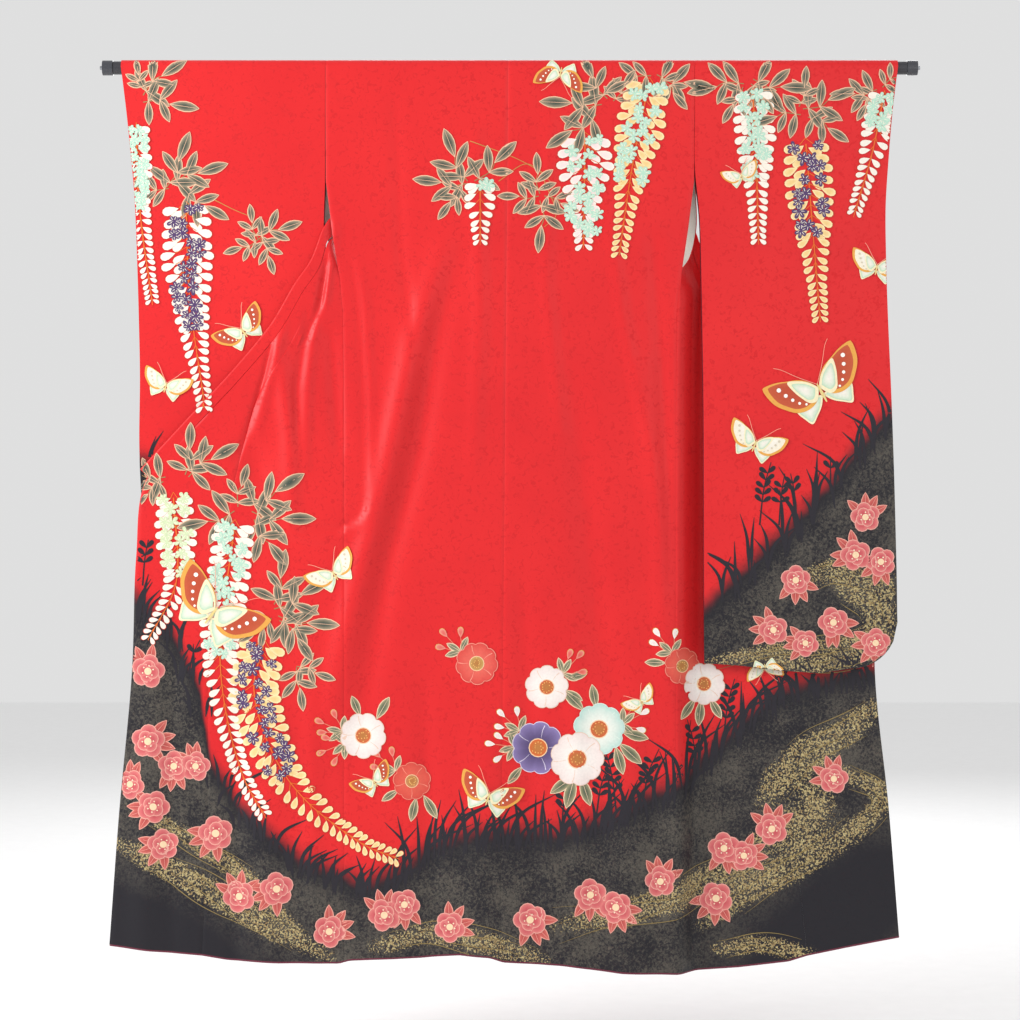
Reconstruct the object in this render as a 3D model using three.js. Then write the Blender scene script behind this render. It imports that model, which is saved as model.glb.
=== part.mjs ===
// A furisode (long-sleeved kimono) hung on a rod that runs through both sleeves.
// Millimetres, +Z up. The origin is the middle of the rod's axis. The garment's back faces -Y.
// Left and right are those of somebody who looks at the garment's back, along +Y.
import * as THREE from 'three';

// Driving sizes
const WALL = 1.6; // lined silk: face cloth, lining and the air between
const SEAM = 0.4; // gap between two pieces along a seam
const SIDE_GAP = 1.4; // between the back and the front of one panel along its side seam
const ROD_R = 11.5;
const ROD_HALF = 694; // rod's length from the middle to each cap
const CAP = { r: 13, length: 18 };
const PIN = { r: 3.5, length: 4.5 };
const DRAPE_R = ROD_R + 0.4 + WALL / 2; // middle of the cloth where it bends over the rod
const ARC_STEPS = 8;
const HEM = 1560; // nominal drop of the hem below the rod
const ACROSS = 10; // steps across a body panel
const OVERLAP_ACROSS = 4; // steps across an overlap panel
const NECK_HALF = 100; // half of the neck's cut
const SHOULDER = 322; // x of the armhole's seam where it passes over the rod
const COLLAR_GAP = 4; // between the collar's two layers
const COLLAR_EDGE = 2; // rounding of the collar's folded edge
const COLLAR_ACROSS = [0, 0.07, 0.14, 0.21, 0.28, 0.36, 0.68]; // close together where it bends over the rod

const mm = (x, y, z) => new THREE.Vector3(x, y, z);
const clamp01 = (t) => Math.min(1, Math.max(0, t));
const smooth = (a, b, t) => THREE.MathUtils.smoothstep(t, a, b);

// A value from a table of rows [key, value, value, ...] with rising keys
function lookup(table, key, column) {
  let i = 0;
  while (i < table.length - 2 && key > table[i + 1][0]) i += 1;
  const t = clamp01((key - table[i][0]) / (table[i + 1][0] - table[i][0]));
  return THREE.MathUtils.lerp(table[i][column], table[i + 1][column], t);
}

// Where the hem hangs: [x, drop]
const HEM_LINE = [
  [-698, 1531], [-630, 1540], [-537, 1548], [-490, 1556], [-402, 1561], [-298, 1562],
  [-280, 1557], [-158, 1552], [-88, 1547], [-35, 1552], [-12, 1560], [88, 1566],
  [193, 1579], [298, 1582], [403, 1575], [490, 1565], [522, 1555], [595, 1540], [684, 1523],
];

// The largest folds of the cloth nearest the back: path, half width, height (towards -Y is positive)
const FOLDS = [
  { path: [[-114, -319], [-166, -476], [-219, -721], [-289, -1001], [-315, -1130]], wide: 24, high: 9 },
  { path: [[-100, -336], [-132, -494], [-160, -669], [-214, -861], [-246, -1071], [-275, -1230]], wide: 22, high: -6 },
  { path: [[114, -561], [131, -756], [158, -1001], [201, -1126]], wide: 26, high: -4 },
  { path: [[-404, -484], [-384, -640], [-380, -800]], wide: 16, high: 5 },
  { path: [[-312, -470], [-299, -660]], wide: 14, high: -3 },
  { path: [[-445, -680], [-440, -720]], wide: 26, high: -6 },
  { path: [[-40, -1180], [-60, -1560]], wide: 34, high: 6 },
  { path: [[196, -1150], [215, -1600]], wide: 38, high: 7 },
  { path: [[-420, -1150], [-425, -1570]], wide: 36, high: 6 },
  { path: [[-620, -1000], [-640, -1540]], wide: 26, high: 5 },
];

// Height of one fold at (x, z): a soft ridge that fades out at both ends
function foldHeight(fold, x, z) {
  let best = 0;
  const last = fold.path.length - 2;
  for (let i = 0; i <= last; i += 1) {
    const [ax, az] = fold.path[i];
    const [bx, bz] = fold.path[i + 1];
    const length2 = (bx - ax) ** 2 + (bz - az) ** 2;
    const t = clamp01(((x - ax) * (bx - ax) + (z - az) * (bz - az)) / length2);
    const away = Math.hypot(x - ax - t * (bx - ax), z - az - t * (bz - az));
    best = Math.max(best, Math.exp(-((away / fold.wide) ** 2)) * Math.sin((Math.PI * (i + t + 0.6)) / (last + 2.2)));
  }
  return best * fold.high;
}

const relief = (x, z) => FOLDS.reduce((sum, fold) => sum + foldHeight(fold, x, z), 0);

// Lets a point of the hanging cloth down to the hem line and lays the folds on it
function hang(p) {
  const drop = -p.z / HEM;
  const z = p.z * (1 + (lookup(HEM_LINE, p.x, 1) / HEM - 1) * clamp01(drop) ** 2);
  const near = smooth(10, 13, -p.y);
  return mm(p.x, p.y - near * relief(p.x, z), z);
}

// Runs a smooth curve through each edge of a table of rows and gives matching points on both edges.
// A row is [steps to the next row, inner x, y, z, outer x, y, z].
function edges(rows) {
  const curve = (k) => new THREE.CatmullRomCurve3(rows.map((r) => mm(r[k], r[k + 1], r[k + 2])), false, 'centripetal');
  const [inner, outer] = [curve(1), curve(4)];
  const points = [];
  rows.forEach(([steps], i) => {
    const count = i === rows.length - 1 ? 1 : steps;
    for (let j = 0; j < count; j += 1) {
      const t = (i + j / count) / (rows.length - 1);
      points.push([inner.getPoint(t), outer.getPoint(t)]);
    }
  });
  return points;
}

// The middle surface between two edges, as rows of points
const between = (pairs, steps, bend) =>
  pairs.map(([a, b], row) =>
    Array.from({ length: steps + 1 }, (_, i) => bend(a.clone().lerp(b, i / steps), row)));

// Turns rows of middle points into a closed wall. With ring, each row closes on itself.
function wall(rows, thickness = WALL, ring = false) {
  const [m, n] = [rows.length, rows[0].length];
  const at = (i, j) => rows[i][ring ? (j + n) % n : j];
  const step = (a, b) => b.clone().sub(a);
  const positions = [];
  for (const side of [1, -1]) {
    for (let i = 0; i < m; i += 1) {
      for (let j = 0; j < n; j += 1) {
        const along = step(at(Math.max(i - 1, 0), j), at(Math.min(i + 1, m - 1), j));
        const across = ring ? step(at(i, j - 1), at(i, j + 1)) : step(at(i, Math.max(j - 1, 0)), at(i, Math.min(j + 1, n - 1)));
        const normal = along.cross(across).normalize();
        positions.push(...at(i, j).clone().addScaledVector(normal, (side * thickness) / 2).toArray());
      }
    }
  }
  const id = (face, i, j) => face * m * n + i * n + (ring ? (j + n) % n : j);
  const index = [];
  const quad = (a, b, c, d) => index.push(a, b, c, a, c, d);
  const columns = ring ? n : n - 1;
  for (let i = 0; i < m - 1; i += 1) {
    for (let j = 0; j < columns; j += 1) {
      quad(id(0, i, j), id(0, i + 1, j), id(0, i + 1, j + 1), id(0, i, j + 1));
      quad(id(1, i, j), id(1, i, j + 1), id(1, i + 1, j + 1), id(1, i + 1, j));
    }
  }
  for (let j = 0; j < columns; j += 1) {
    quad(id(0, 0, j), id(0, 0, j + 1), id(1, 0, j + 1), id(1, 0, j));
    quad(id(0, m - 1, j + 1), id(0, m - 1, j), id(1, m - 1, j), id(1, m - 1, j + 1));
  }
  if (!ring) {
    for (let i = 0; i < m - 1; i += 1) {
      quad(id(0, i + 1, 0), id(0, i, 0), id(1, i, 0), id(1, i + 1, 0));
      quad(id(0, i, n - 1), id(0, i + 1, n - 1), id(1, i + 1, n - 1), id(1, i, n - 1));
    }
  }
  const geometry = new THREE.BufferGeometry();
  geometry.setAttribute('position', new THREE.Float32BufferAttribute(positions, 3));
  geometry.setIndex(index);
  geometry.computeVertexNormals();
  return geometry;
}

// Mirrors a table of rows to the other side of the garment
const mirrored = (rows) => rows.map(([steps, ...p]) => [steps, ...p.map((v, i) => (i % 3 === 0 ? -v : v))]);

// Rows over the top of the rod, from the back round to the front
function overRod(neckIn, neckOut, outer) {
  return Array.from({ length: ARC_STEPS + 1 }, (_, i) => {
    const angle = Math.PI * (1 - i / ARC_STEPS);
    const inner = i <= ARC_STEPS / 2 ? neckIn : neckOut;
    const [y, z] = [DRAPE_R * Math.cos(angle), DRAPE_R * Math.sin(angle)];
    return [1, inner, y, z, outer, y, z];
  });
}

// Body panels. Rows [steps, inner x, y, z, outer x, y, z]: centre back seam and side seam, hem upwards.
const BACK = [
  [3, 0, -16, -1560, 289, -16, -1560],
  [4, 0, -17, -1300, 289, -16, -1300],
  [5, 0, -16, -960, 289, -15, -960],
  [2, 0, -15, -600, 290, -14, -600],
  [1, 0, -14, -430, 292, -13.6, -430],
  [1, 0, -14, -360, 296, -13.4, -360],
  [1, 0, -13.5, -280, 303, -13.4, -280],
  [2, 0, -13.2, -200, 321, -13.2, -200],
  [2, 0, -12.8, -60, 322, -12.8, -60],
];
// The front panels' part above the armpit, on the far side. Inner: collar's seam. Outer: armhole.
const FRONT_TOP = [
  [1, 128, 13, -40, 322, 12.8, -50],
  [1, 165, 14, -90, 322, 13, -110],
  [1, 202, 15, -142, 322, 13.2, -168],
  [1, 240, 15, -195, 321, 13.5, -222],
  [1, 272, 14, -243, 318, 13, -272],
];
// Below the armpit the cloth is bunched, and its edges stand a little further apart
const BUNCHED = { at: 282, reach: 46, extra: 3.4 };
const seamGap = (z) => SEAM + BUNCHED.extra * Math.exp(-(((z + BUNCHED.at) / BUNCHED.reach) ** 2));
const KENSAKI = 3; // row of FRONT_TOP where the overlap panel begins
// The left front comes through the gap under the armhole and spreads out nearer than the sleeve.
// Inner: overlap panel's seam. Outer: side seam.
const FRONT_LEFT = [
  [1, -295, 13.5, -285, -315, 12, -316],
  [1, -306, 8, -300, -308, 7, -337],
  [1, -309, -1, -306, -306, -1, -345],
  [1, -311, -9, -311, -304, -8, -350],
  [1, -314, -15, -320, -299, -13.4, -362],
  [1, -324, -17, -361, -295, -13.6, -395],
  [1, -345, -18, -405, -293, -13.8, -450],
  [2, -380, -18, -478, -291, -14, -540],
  [2, -438, -18, -572, -290, -14.2, -650],
  [1, -462, -18, -650, -290, -14.4, -740],
  [2, -486, -18, -752, -289, -14.6, -840],
  [2, -508, -17, -880, -289, -15, -960],
  [3, -525, -17, -1060, -289, -15.2, -1130],
  [2, -527, -16, -1320, -289, -16, -1340],
  [1, -537, -16, -1560, -289, -16, -1560],
];
// The right front stays on the far side and spreads out behind the sleeve
const FRONT_RIGHT = [
  [1, 295, 16, -285, 314, 10, -314],
  [1, 304, 18, -300, 307, 6, -336],
  [1, 308, 21, -306, 304, 0, -345],
  [1, 311, 25, -311, 301, -7, -351],
  [1, 314, 27, -320, 298, -12.5, -362],
  [1, 324, 27, -361, 295, -13.6, -395],
  [1, 345, 26, -405, 293, -13.8, -450],
  [2, 380, 25, -478, 291, -14, -540],
  [2, 438, 24, -572, 290, -14.2, -650],
  [1, 466, 22, -650, 290, -14.4, -740],
  [2, 488, 22, -752, 289, -14.6, -840],
  [2, 493, 21, -880, 289, -15, -960],
  [3, 488, 20, -1050, 289, -15.2, -1130],
  [2, 500, 18, -1320, 289, -16, -1340],
  [1, 522, 16, -1560, 289, -16, -1560],
];
const SIDE_SEAM = BACK.map(([, , , , x, , z]) => [z, x]);
const SIDE_SEAM_TOP = -365; // the front joins the back below this
const CENTRE_SLANT = [-3, -17]; // x of the centre back seam at the rod and at the hem
// The right front turns away from the side seam and slips behind the sleeve's open edge
const AWAY = { from: -330, full: -430, x: 280, width: 44, nearest: -16.5, near: -14, far: 20 };

function behindSleeve(p) {
  if (p.z > AWAY.from || p.x < AWAY.x || p.y < AWAY.nearest) return p;
  const far = smooth(0, AWAY.width, p.x - lookup(SIDE_SEAM, p.z, 1) - SEAM);
  const share = smooth(-AWAY.from, -AWAY.full, -p.z);
  const bent = THREE.MathUtils.lerp(Math.min(p.y, AWAY.near), AWAY.far, far);
  return mm(p.x, THREE.MathUtils.lerp(p.y, bent, share), p.z);
}

function bodyPanel(side, frontBelow) {
  const centre = (z) => THREE.MathUtils.lerp(CENTRE_SLANT[0], CENTRE_SLANT[1], -z / HEM) + (side * SEAM) / 2;
  const back = BACK.map(([steps, , iy, iz, ox, oy, oz]) => [steps, centre(iz), iy, iz, side * ox, oy, oz]);
  const top = side > 0 ? FRONT_TOP : mirrored(FRONT_TOP);
  const arc = overRod(centre(0), side * NECK_HALF, side * SHOULDER);
  const pairs = edges([...back, ...arc, ...top, ...frontBelow]);
  const backSteps = BACK.reduce((sum, [steps]) => sum + steps, 0);
  const spread = pairs.findIndex(([, outer], i) => i > backSteps && outer.z < SIDE_SEAM_TOP);
  pairs.forEach(([, outer], i) => {
    if (i < backSteps) outer.x = side * lookup(SIDE_SEAM, outer.z, 1);
    if (i >= spread) outer.x = side * (lookup(SIDE_SEAM, outer.z, 1) + SIDE_GAP);
  });
  return wall(between(pairs, ACROSS, (p, row) => hang(row < spread ? p : behindSleeve(p))));
}

// Overlap panels: the outer edge of each row is the collar's seam and, below the collar's end, the free edge.
// Rows [x, y, z], one for each row of the front from the kensaki on.
const OVERLAP_TOP = [
  [238, 15, -198],
  [267, 14, -247],
];
const OVERLAP_LEFT = [
  [-288, 11, -277.5],
  [-306, 7.5, -291],
  [-309, -1, -296],
  [-311, -9, -300],
  [-317, -15, -308],
  [-332, -18, -352],
  [-360, -19, -393],
  [-401, -19, -463],
  [-473, -19, -549],
  [-541, -19, -622],
  [-633, -19, -722],
  [-651, -18, -860],
  [-658, -18, -1060],
  [-681, -17, -1320],
  [-698, -16, -1560],
];
const OVERLAP_RIGHT = [
  [289.6, 18.8, -277],
  [303, 20.5, -291],
  [307, 23, -296],
  [311, 26, -300],
  [317, 28, -308],
  [332, 28, -352],
  [360, 27, -393],
  [401, 26, -463],
  [478, 24, -549],
  [553, 23, -622],
  [655, 23, -722],
  [652, 22, -860],
  [641, 21, -1050],
  [666, 18, -1320],
  [684, 16, -1560],
];

function overlapPanel(side, frontBelow, outerEdge) {
  const flip = ([x, y, z]) => [side * x, y, z];
  const inner = [...(side > 0 ? FRONT_TOP : mirrored(FRONT_TOP)).slice(KENSAKI), ...frontBelow];
  const outer = [...OVERLAP_TOP.map(flip), ...outerEdge];
  const rows = inner.map(([steps, ix, iy, iz], i) => [steps, ix, iy, iz, ...outer[i]]);
  const pairs = edges(rows).map(([a, b]) => {
    const gap = b.clone().sub(a).setLength(seamGap(a.z));
    return [a.add(gap), b];
  });
  return wall(between(pairs, OVERLAP_ACROSS, (p) => hang(behindSleeve(p))));
}

// Collar, folded double: rows [steps, seam x, y, z, fold x, y, z, width turned under].
// Above the rod's axis z runs along the cloth over the rod, and y is its distance from the axis.
const NECK = [
  [1, 0, 13.2, 18.9, 0, 16.6, -50, 38],
  [1, 50, 13.2, 16.2, 42, 16.6, -50, 38],
  [1, 96, 13.3, 13.6, 66, 16.6, -54, 38],
  [1, 99.3, 13.3, 7, 69, 16.6, -59, 38],
  [1, 99.6, 13.3, 0.5, 71, 16.6, -64, 38],
];
const COLLAR_TOP = [
  [1, 127, 13.5, -41, 84, 16, -75, 42],
  [1, 164, 14, -92, 120, 16, -124, 44],
  [1, 201, 15, -144, 158, 16, -176, 44],
  [1, 238, 15, -199, 197, 16, -227, 36],
  [1, 266, 14, -248, 229, 15, -252, 30],
];
const COLLAR_LEFT = [
  [1, -285.6, 9.4, -275.2, -263, 6, -257, 20],
  [1, -306, 7, -290, -300, 4, -261, 20],
  [1, -309, -1, -295, -310, -3, -265, 20],
  [1, -311, -9, -299, -314, -11, -270, 20],
  [1, -317.5, -15, -307, -324, -16, -284, 22],
  [1, -332.5, -18, -351, -346, -19, -337, 32],
  [1, -360.5, -19, -392, -375, -20, -379, 44],
  [2, -401.5, -19, -462, -417, -20, -450, 60],
  [2, -473.5, -19, -548, -489, -20, -537, 76],
  [2, -541.5, -19, -621, -555, -20, -608, 84],
  [1, -630, -19, -718, -644, -20, -705, 84],
];
const COLLAR_RIGHT = [
  [1, 289, 19.2, -276.3, 265, 22.5, -257, 20],
  [1, 303, 21, -290, 299, 25, -261, 20],
  [1, 307, 23.5, -295, 308, 27, -265, 20],
  [1, 311, 26.5, -299, 315, 28.5, -270, 20],
  [1, 317.5, 28, -307, 325, 29, -284, 22],
  [1, 332.5, 28, -351, 346, 29, -337, 32],
  [1, 360.5, 27, -392, 375, 28, -379, 44],
  [2, 401.5, 26, -462, 417, 27, -450, 60],
  [2, 478.5, 24, -548, 494, 25, -537, 76],
  [2, 553.5, 23, -621, 568, 24, -608, 84],
  [1, 652, 23, -718, 668, 24, -705, 84],
];

// Bends the part above the rod's axis over the rod
function overFar(p) {
  if (p.z <= 0) return p;
  const angle = p.z / DRAPE_R;
  return mm(p.x, p.y * Math.cos(angle), p.y * Math.sin(angle));
}

function collar() {
  const half = (side, below) => [...[...NECK, ...COLLAR_TOP].map(([steps, sx, sy, sz, fx, fy, fz, under]) =>
    [steps, side * sx, sy, sz, side * fx, fy, fz, under]), ...below];
  const left = half(-1, COLLAR_LEFT).reverse();
  // a row's steps lead to the next row, so the reversed half takes them from the row that follows
  const turned = left.map((row, i) => [left[Math.min(i + 1, left.length - 1)][0], ...row.slice(1)]);
  const rows = [...turned, ...half(1, COLLAR_RIGHT).slice(1)];
  const pairs = edges(rows);
  const unders = edges(rows.map((r) => [r[0], r[7], 0, 0, r[7], 0, 0])).map(([a]) => a.x);
  const bent = pairs.map(([a, b]) => [hang(behindSleeve(a)), hang(behindSleeve(b))]);
  const grid = bent.map(([seam, fold], i) => {
    const [before, after] = [bent[Math.max(i - 1, 0)], bent[Math.min(i + 1, bent.length - 1)]];
    const along = after[0].clone().add(after[1]).sub(before[0]).sub(before[1]);
    const out = fold.clone().sub(seam);
    const width = out.length();
    out.normalize();
    const under = out.clone().cross(along).normalize();
    const edge = seam.clone().addScaledVector(out, seamGap(seam.z) - SEAM);
    const place = (w, depth) => overFar(edge.clone().addScaledVector(out, w).addScaledVector(under, depth));
    return [
      ...COLLAR_ACROSS.map((share) => place(width * share, 0)), place(width - COLLAR_EDGE, 0),
      place(width, COLLAR_GAP / 2), place(width - COLLAR_EDGE, COLLAR_GAP),
      place(width - unders[i] / 2, COLLAR_GAP), place(width - unders[i], COLLAR_GAP),
    ];
  });
  return wall(grid);
}

// Sleeves, each one closed ring from edge to edge.
// Rows [z, inner x, outer x, inner near y, inner far y, outer near y, outer far y].
const SLEEVE_LEFT = [
  [-830, 262, 640, -3, 4, -1.4, 2],
  [-803, 262, 641, -3, 4, -1.4, 2],
  [-700, 258, 649, -3, 5, -1, 2],
  [-560, 278, 647, -4, 7, -1, 1],
  [-450, 308, 649, -5, 8, -1, 1],
  [-370, 325, 651, -6, 9, -1.2, 0.8],
  [-260, 325, 655, -9, 12, -1.5, 0.8],
  [-200, 322.6, 658, -12.8, 13.2, -6, 6],
  [-70, 322.6, 670, -12.8, 13, -12, 12],
  [0, 322.6, 679, -DRAPE_R, DRAPE_R, -DRAPE_R, DRAPE_R],
];
const SLEEVE_RIGHT = [
  [-1080, 340, 677, -7, 3, -3, -1],
  [-931, 339, 677, -7, 4, -3, -1],
  [-756, 338.5, 673, -8, 6, -3.5, -1.5],
  [-600, 338, 668, -8, 7, -4, -2],
  [-470, 336, 662, -9, 8, -4, -2],
  [-360, 334, 658, -9.5, 9, -4, -2],
  [-260, 331, 656, -10, 11, -4, -2],
  [-200, 322.6, 658, -12.8, 13.2, -8, 6],
  [-70, 322.6, 668, -12.8, 13, -12, 12],
  [0, 322.6, 677, -DRAPE_R, DRAPE_R, -DRAPE_R, DRAPE_R],
];
const SLEEVE_ACROSS = [0, 0.12, 0.28, 0.44, 0.6, 0.75, 0.86, 0.93, 0.975, 1];
const ROUND_CORNER = 80; // radius of the sleeve's outer bottom corner
const SLEEVE_BOTTOM = [[340, 1041], [403, 1045], [473, 1054], [543, 1058], [597, 1050]]; // x, drop
const SLEEVE_OUTER = 677;
const DROP_SHARES = [0.03, 0.09, 0.17, 0.25, 0.34, 0.45, 0.57, 0.7, 0.83, 0.94];
const SEWN = { half: 1, rise: 2 }; // where two layers are sewn together: half their distance, roundness

// A point of a sleeve's near (0) or far (1) layer, at the share u of its width
function sleevePoint(table, side, u, z, layer, away = 0) {
  const lerp = THREE.MathUtils.lerp;
  const x = lerp(lookup(table, z, 1), lookup(table, z, 2), u);
  const y = lerp(lookup(table, z, 3 + layer), lookup(table, z, 5 + layer), u ** 1.5);
  return mm(side * x, y + away, z);
}

// The right sleeve hangs at its full length
function hangingSleeve(table, side, u) {
  const [flatFrom] = SLEEVE_BOTTOM[0];
  const [flatTo, drop] = SLEEVE_BOTTOM[SLEEVE_BOTTOM.length - 1];
  const x = THREE.MathUtils.lerp(flatFrom, SLEEVE_OUTER, u);
  const rounded = ROUND_CORNER - Math.sqrt(Math.max(0, ROUND_CORNER ** 2 - (x - flatTo) ** 2));
  const bottom = x < flatTo ? -lookup(SLEEVE_BOTTOM, x, 1) : rounded - drop;
  const layer = (far) => (share) => sleevePoint(table, side, u, share * bottom, far);
  const low = layer(0)(1).lerp(layer(1)(1), 0.5);
  return [
    ...DROP_SHARES.map(layer(0)),
    low.clone().add(mm(0, -SEWN.half, SEWN.rise)), low, low.clone().add(mm(0, SEWN.half, SEWN.rise)),
    ...[...DROP_SHARES].reverse().map(layer(1)),
  ];
}

// The left sleeve is folded up behind itself
const FOLDED = { at: -803, up: -545, inside: 3.6, back: 7, low: 34, corner: 0.12, rise: 4, side: 0.75, steep: 0.66 };
const FOLDED_LEVELS = [-34, -90, -150, -205, -262, -340, -430, -540, -660, -760];
const FLAP_LEVELS = [-760, -690, -610];

function foldedSleeve(table, side, u) {
  const at = FOLDED.at + FOLDED.low * (1 - smooth(0, FOLDED.corner, u)); // the fold's soft inner corner
  const far = (away) => (z) => sleevePoint(table, side, u, z, 1, away);
  const near = (z) => sleevePoint(table, side, u, z, 0);
  const middle = near(at).lerp(far(FOLDED.back)(at), 0.5);
  const reach = (far(FOLDED.back)(at).y - near(at).y) / 2;
  const shoulder = FOLDED.rise - reach * FOLDED.steep;
  const top = far((FOLDED.inside + FOLDED.back) / 2)(FOLDED.up);
  const half = FOLDED.inside / 2;
  const turn = far(half)(at);
  return [
    ...FOLDED_LEVELS.map(near),
    middle.clone().add(mm(0, -reach * FOLDED.side, shoulder)),
    middle.clone().add(mm(0, 0, FOLDED.rise - reach)),
    middle.clone().add(mm(0, reach * FOLDED.side, shoulder)),
    ...FLAP_LEVELS.map(far(FOLDED.back)),
    top.clone().add(mm(0, SEWN.half, -SEWN.rise)), top, top.clone().add(mm(0, -SEWN.half, -SEWN.rise)),
    ...[...FLAP_LEVELS].reverse().map(far(FOLDED.inside)),
    turn.clone().add(mm(0, half, FOLDED.rise + half)),
    turn.clone().add(mm(0, 0, FOLDED.rise)),
    turn.clone().add(mm(0, -half, FOLDED.rise + half)),
    ...[...FOLDED_LEVELS].reverse().map(far(0)),
  ];
}

function sleeve(side, table, section) {
  const rows = SLEEVE_ACROSS.map((u) => {
    const ring = section(table, side, u);
    for (let i = 0; i <= ARC_STEPS; i += 1) {
      const angle = (Math.PI * i) / ARC_STEPS;
      const x = side * THREE.MathUtils.lerp(lookup(table, 0, 1), lookup(table, 0, 2), u);
      ring.push(mm(x, DRAPE_R * Math.cos(angle), DRAPE_R * Math.sin(angle)));
    }
    return ring;
  });
  return wall(side > 0 ? rows : rows.reverse(), WALL, true);
}

// The rod with its end caps and pins
const BAR_SIDES = 24;

function roundBar(radius, from, to) {
  const geometry = new THREE.CylinderGeometry(radius, radius, to - from, BAR_SIDES);
  geometry.rotateZ(Math.PI / 2);
  geometry.translate((from + to) / 2, 0, 0);
  return geometry;
}

const group = new THREE.Group();

function add(name, geometry, material) {
  const mesh = new THREE.Mesh(geometry, material);
  mesh.name = name;
  group.add(mesh);
}

const silk = (color) => new THREE.MeshStandardMaterial({ color, roughness: 0.55, metalness: 0 });
const dark = () => new THREE.MeshStandardMaterial({ color: 0x2c2c30, roughness: 0.3, metalness: 0 });
const steel = () => new THREE.MeshStandardMaterial({ color: 0xb9bcc0, roughness: 0.3, metalness: 1 });

add('body_left', bodyPanel(-1, FRONT_LEFT), silk(0xd8302f));
add('body_right', bodyPanel(1, FRONT_RIGHT), silk(0xd8302f));
add('overlap_left', overlapPanel(-1, FRONT_LEFT, OVERLAP_LEFT), silk(0xc52a2b));
add('overlap_right', overlapPanel(1, FRONT_RIGHT, OVERLAP_RIGHT), silk(0xc52a2b));
add('collar', collar(), silk(0xdd3a36));
add('sleeve_left', sleeve(-1, SLEEVE_LEFT, foldedSleeve), silk(0xe0403b));
add('sleeve_right', sleeve(1, SLEEVE_RIGHT, hangingSleeve), silk(0xe0403b));
add('rod', roundBar(ROD_R, -ROD_HALF, ROD_HALF), dark());
for (const [name, side] of [['left', -1], ['right', 1]]) {
  const capFrom = ROD_HALF + SEAM;
  const pinFrom = capFrom + CAP.length + SEAM;
  const bar = (r, from, length) => (side > 0 ? roundBar(r, from, from + length) : roundBar(r, -from - length, -from));
  add(`rod_cap_${name}`, bar(CAP.r, capFrom, CAP.length), dark());
  add(`rod_pin_${name}`, bar(PIN.r, pinFrom, PIN.length), steel());
}

export default group;
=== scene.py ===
import math
import random

import bpy
import numpy as np
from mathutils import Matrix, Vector
from mathutils.bvhtree import BVHTree


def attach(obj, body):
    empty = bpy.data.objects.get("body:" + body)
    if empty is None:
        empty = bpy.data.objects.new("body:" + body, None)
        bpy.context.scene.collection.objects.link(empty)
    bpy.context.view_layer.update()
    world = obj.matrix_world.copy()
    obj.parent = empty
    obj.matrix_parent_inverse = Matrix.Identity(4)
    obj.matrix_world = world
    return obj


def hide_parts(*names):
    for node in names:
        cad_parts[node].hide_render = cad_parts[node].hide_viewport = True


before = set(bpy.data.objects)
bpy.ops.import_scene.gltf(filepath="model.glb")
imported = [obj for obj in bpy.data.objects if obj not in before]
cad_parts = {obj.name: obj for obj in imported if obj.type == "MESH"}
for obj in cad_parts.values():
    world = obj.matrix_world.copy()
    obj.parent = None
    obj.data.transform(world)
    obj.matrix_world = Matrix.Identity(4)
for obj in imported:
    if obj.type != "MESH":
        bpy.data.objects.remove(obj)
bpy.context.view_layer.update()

MM = 0.001  # the tables below are in millimetres

# ---------------------------------------------------------------------------
# Camera: level and square to the garment's back, far enough away to keep
# the rod and the hem both straight.
# ---------------------------------------------------------------------------
FRAME_WIDTH = 1.785  # metres of the object's plane that the picture spans
EYE_Z = -0.7735  # half-way down the garment
LENS, SENSOR = 85.0, 36.0
view = bpy.data.cameras.new("camera")
view.lens, view.sensor_width = LENS, SENSOR
camera = bpy.data.objects.new("camera", view)
camera.location = (0.0, -FRAME_WIDTH * LENS / SENSOR, EYE_Z)
camera.rotation_euler = (math.pi / 2, 0.0, 0.0)
bpy.context.collection.objects.link(camera)
bpy.context.scene.camera = camera

# ---------------------------------------------------------------------------
# Rod: a telescopic tube of black-painted aluminium that runs through both
# sleeves. It is drawn, painted and baked, and carries the whole garment.
# ---------------------------------------------------------------------------


def colour(code):
    """An sRGB hex value as linear red, green, blue and alpha"""
    parts = [int(code[i : i + 2], 16) / 255 for i in (1, 3, 5)]
    return (*(c / 12.92 if c < 0.04045 else ((c + 0.055) / 1.055) ** 2.4 for c in parts), 1.0)


def node(tree, kind, links=None, **settings):
    """Adds a shader node. A key of links is an input's name or number, its value a socket or a number."""
    new = tree.nodes.new(kind)
    for key, value in settings.items():
        setattr(new, key, value)
    for key, value in (links or {}).items():
        if isinstance(value, bpy.types.NodeSocket):
            tree.links.new(value, new.inputs[key])
        else:
            new.inputs[key].default_value = value
    return new


def shaded(name, **sockets):
    """A material with its tree, its Principled shader with fixed sockets, and the object's coordinates"""
    made = bpy.data.materials.new(name)
    made.use_nodes = True
    tree = made.node_tree
    shader = tree.nodes["Principled BSDF"]
    for key, value in sockets.items():
        shader.inputs[key.replace("_", " ")].default_value = value
    return made, tree, shader, node(tree, "ShaderNodeTexCoord").outputs["Object"]


def noise(tree, place, scale, detail=2.0, **sockets):
    """The grey value of a noise texture"""
    sockets.update(Vector=place, Scale=scale, Detail=detail)
    return node(tree, "ShaderNodeTexNoise", sockets).outputs["Fac"]


def ramp(tree, value, dark, light, start=0.0, end=1.0):
    """Shades from one hex colour to another"""
    new = node(tree, "ShaderNodeValToRGB", {"Fac": value})
    for stop, at, code in zip(new.color_ramp.elements, (start, end), (dark, light)):
        stop.position, stop.color = at, colour(code)
    return new.outputs["Color"]


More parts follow.
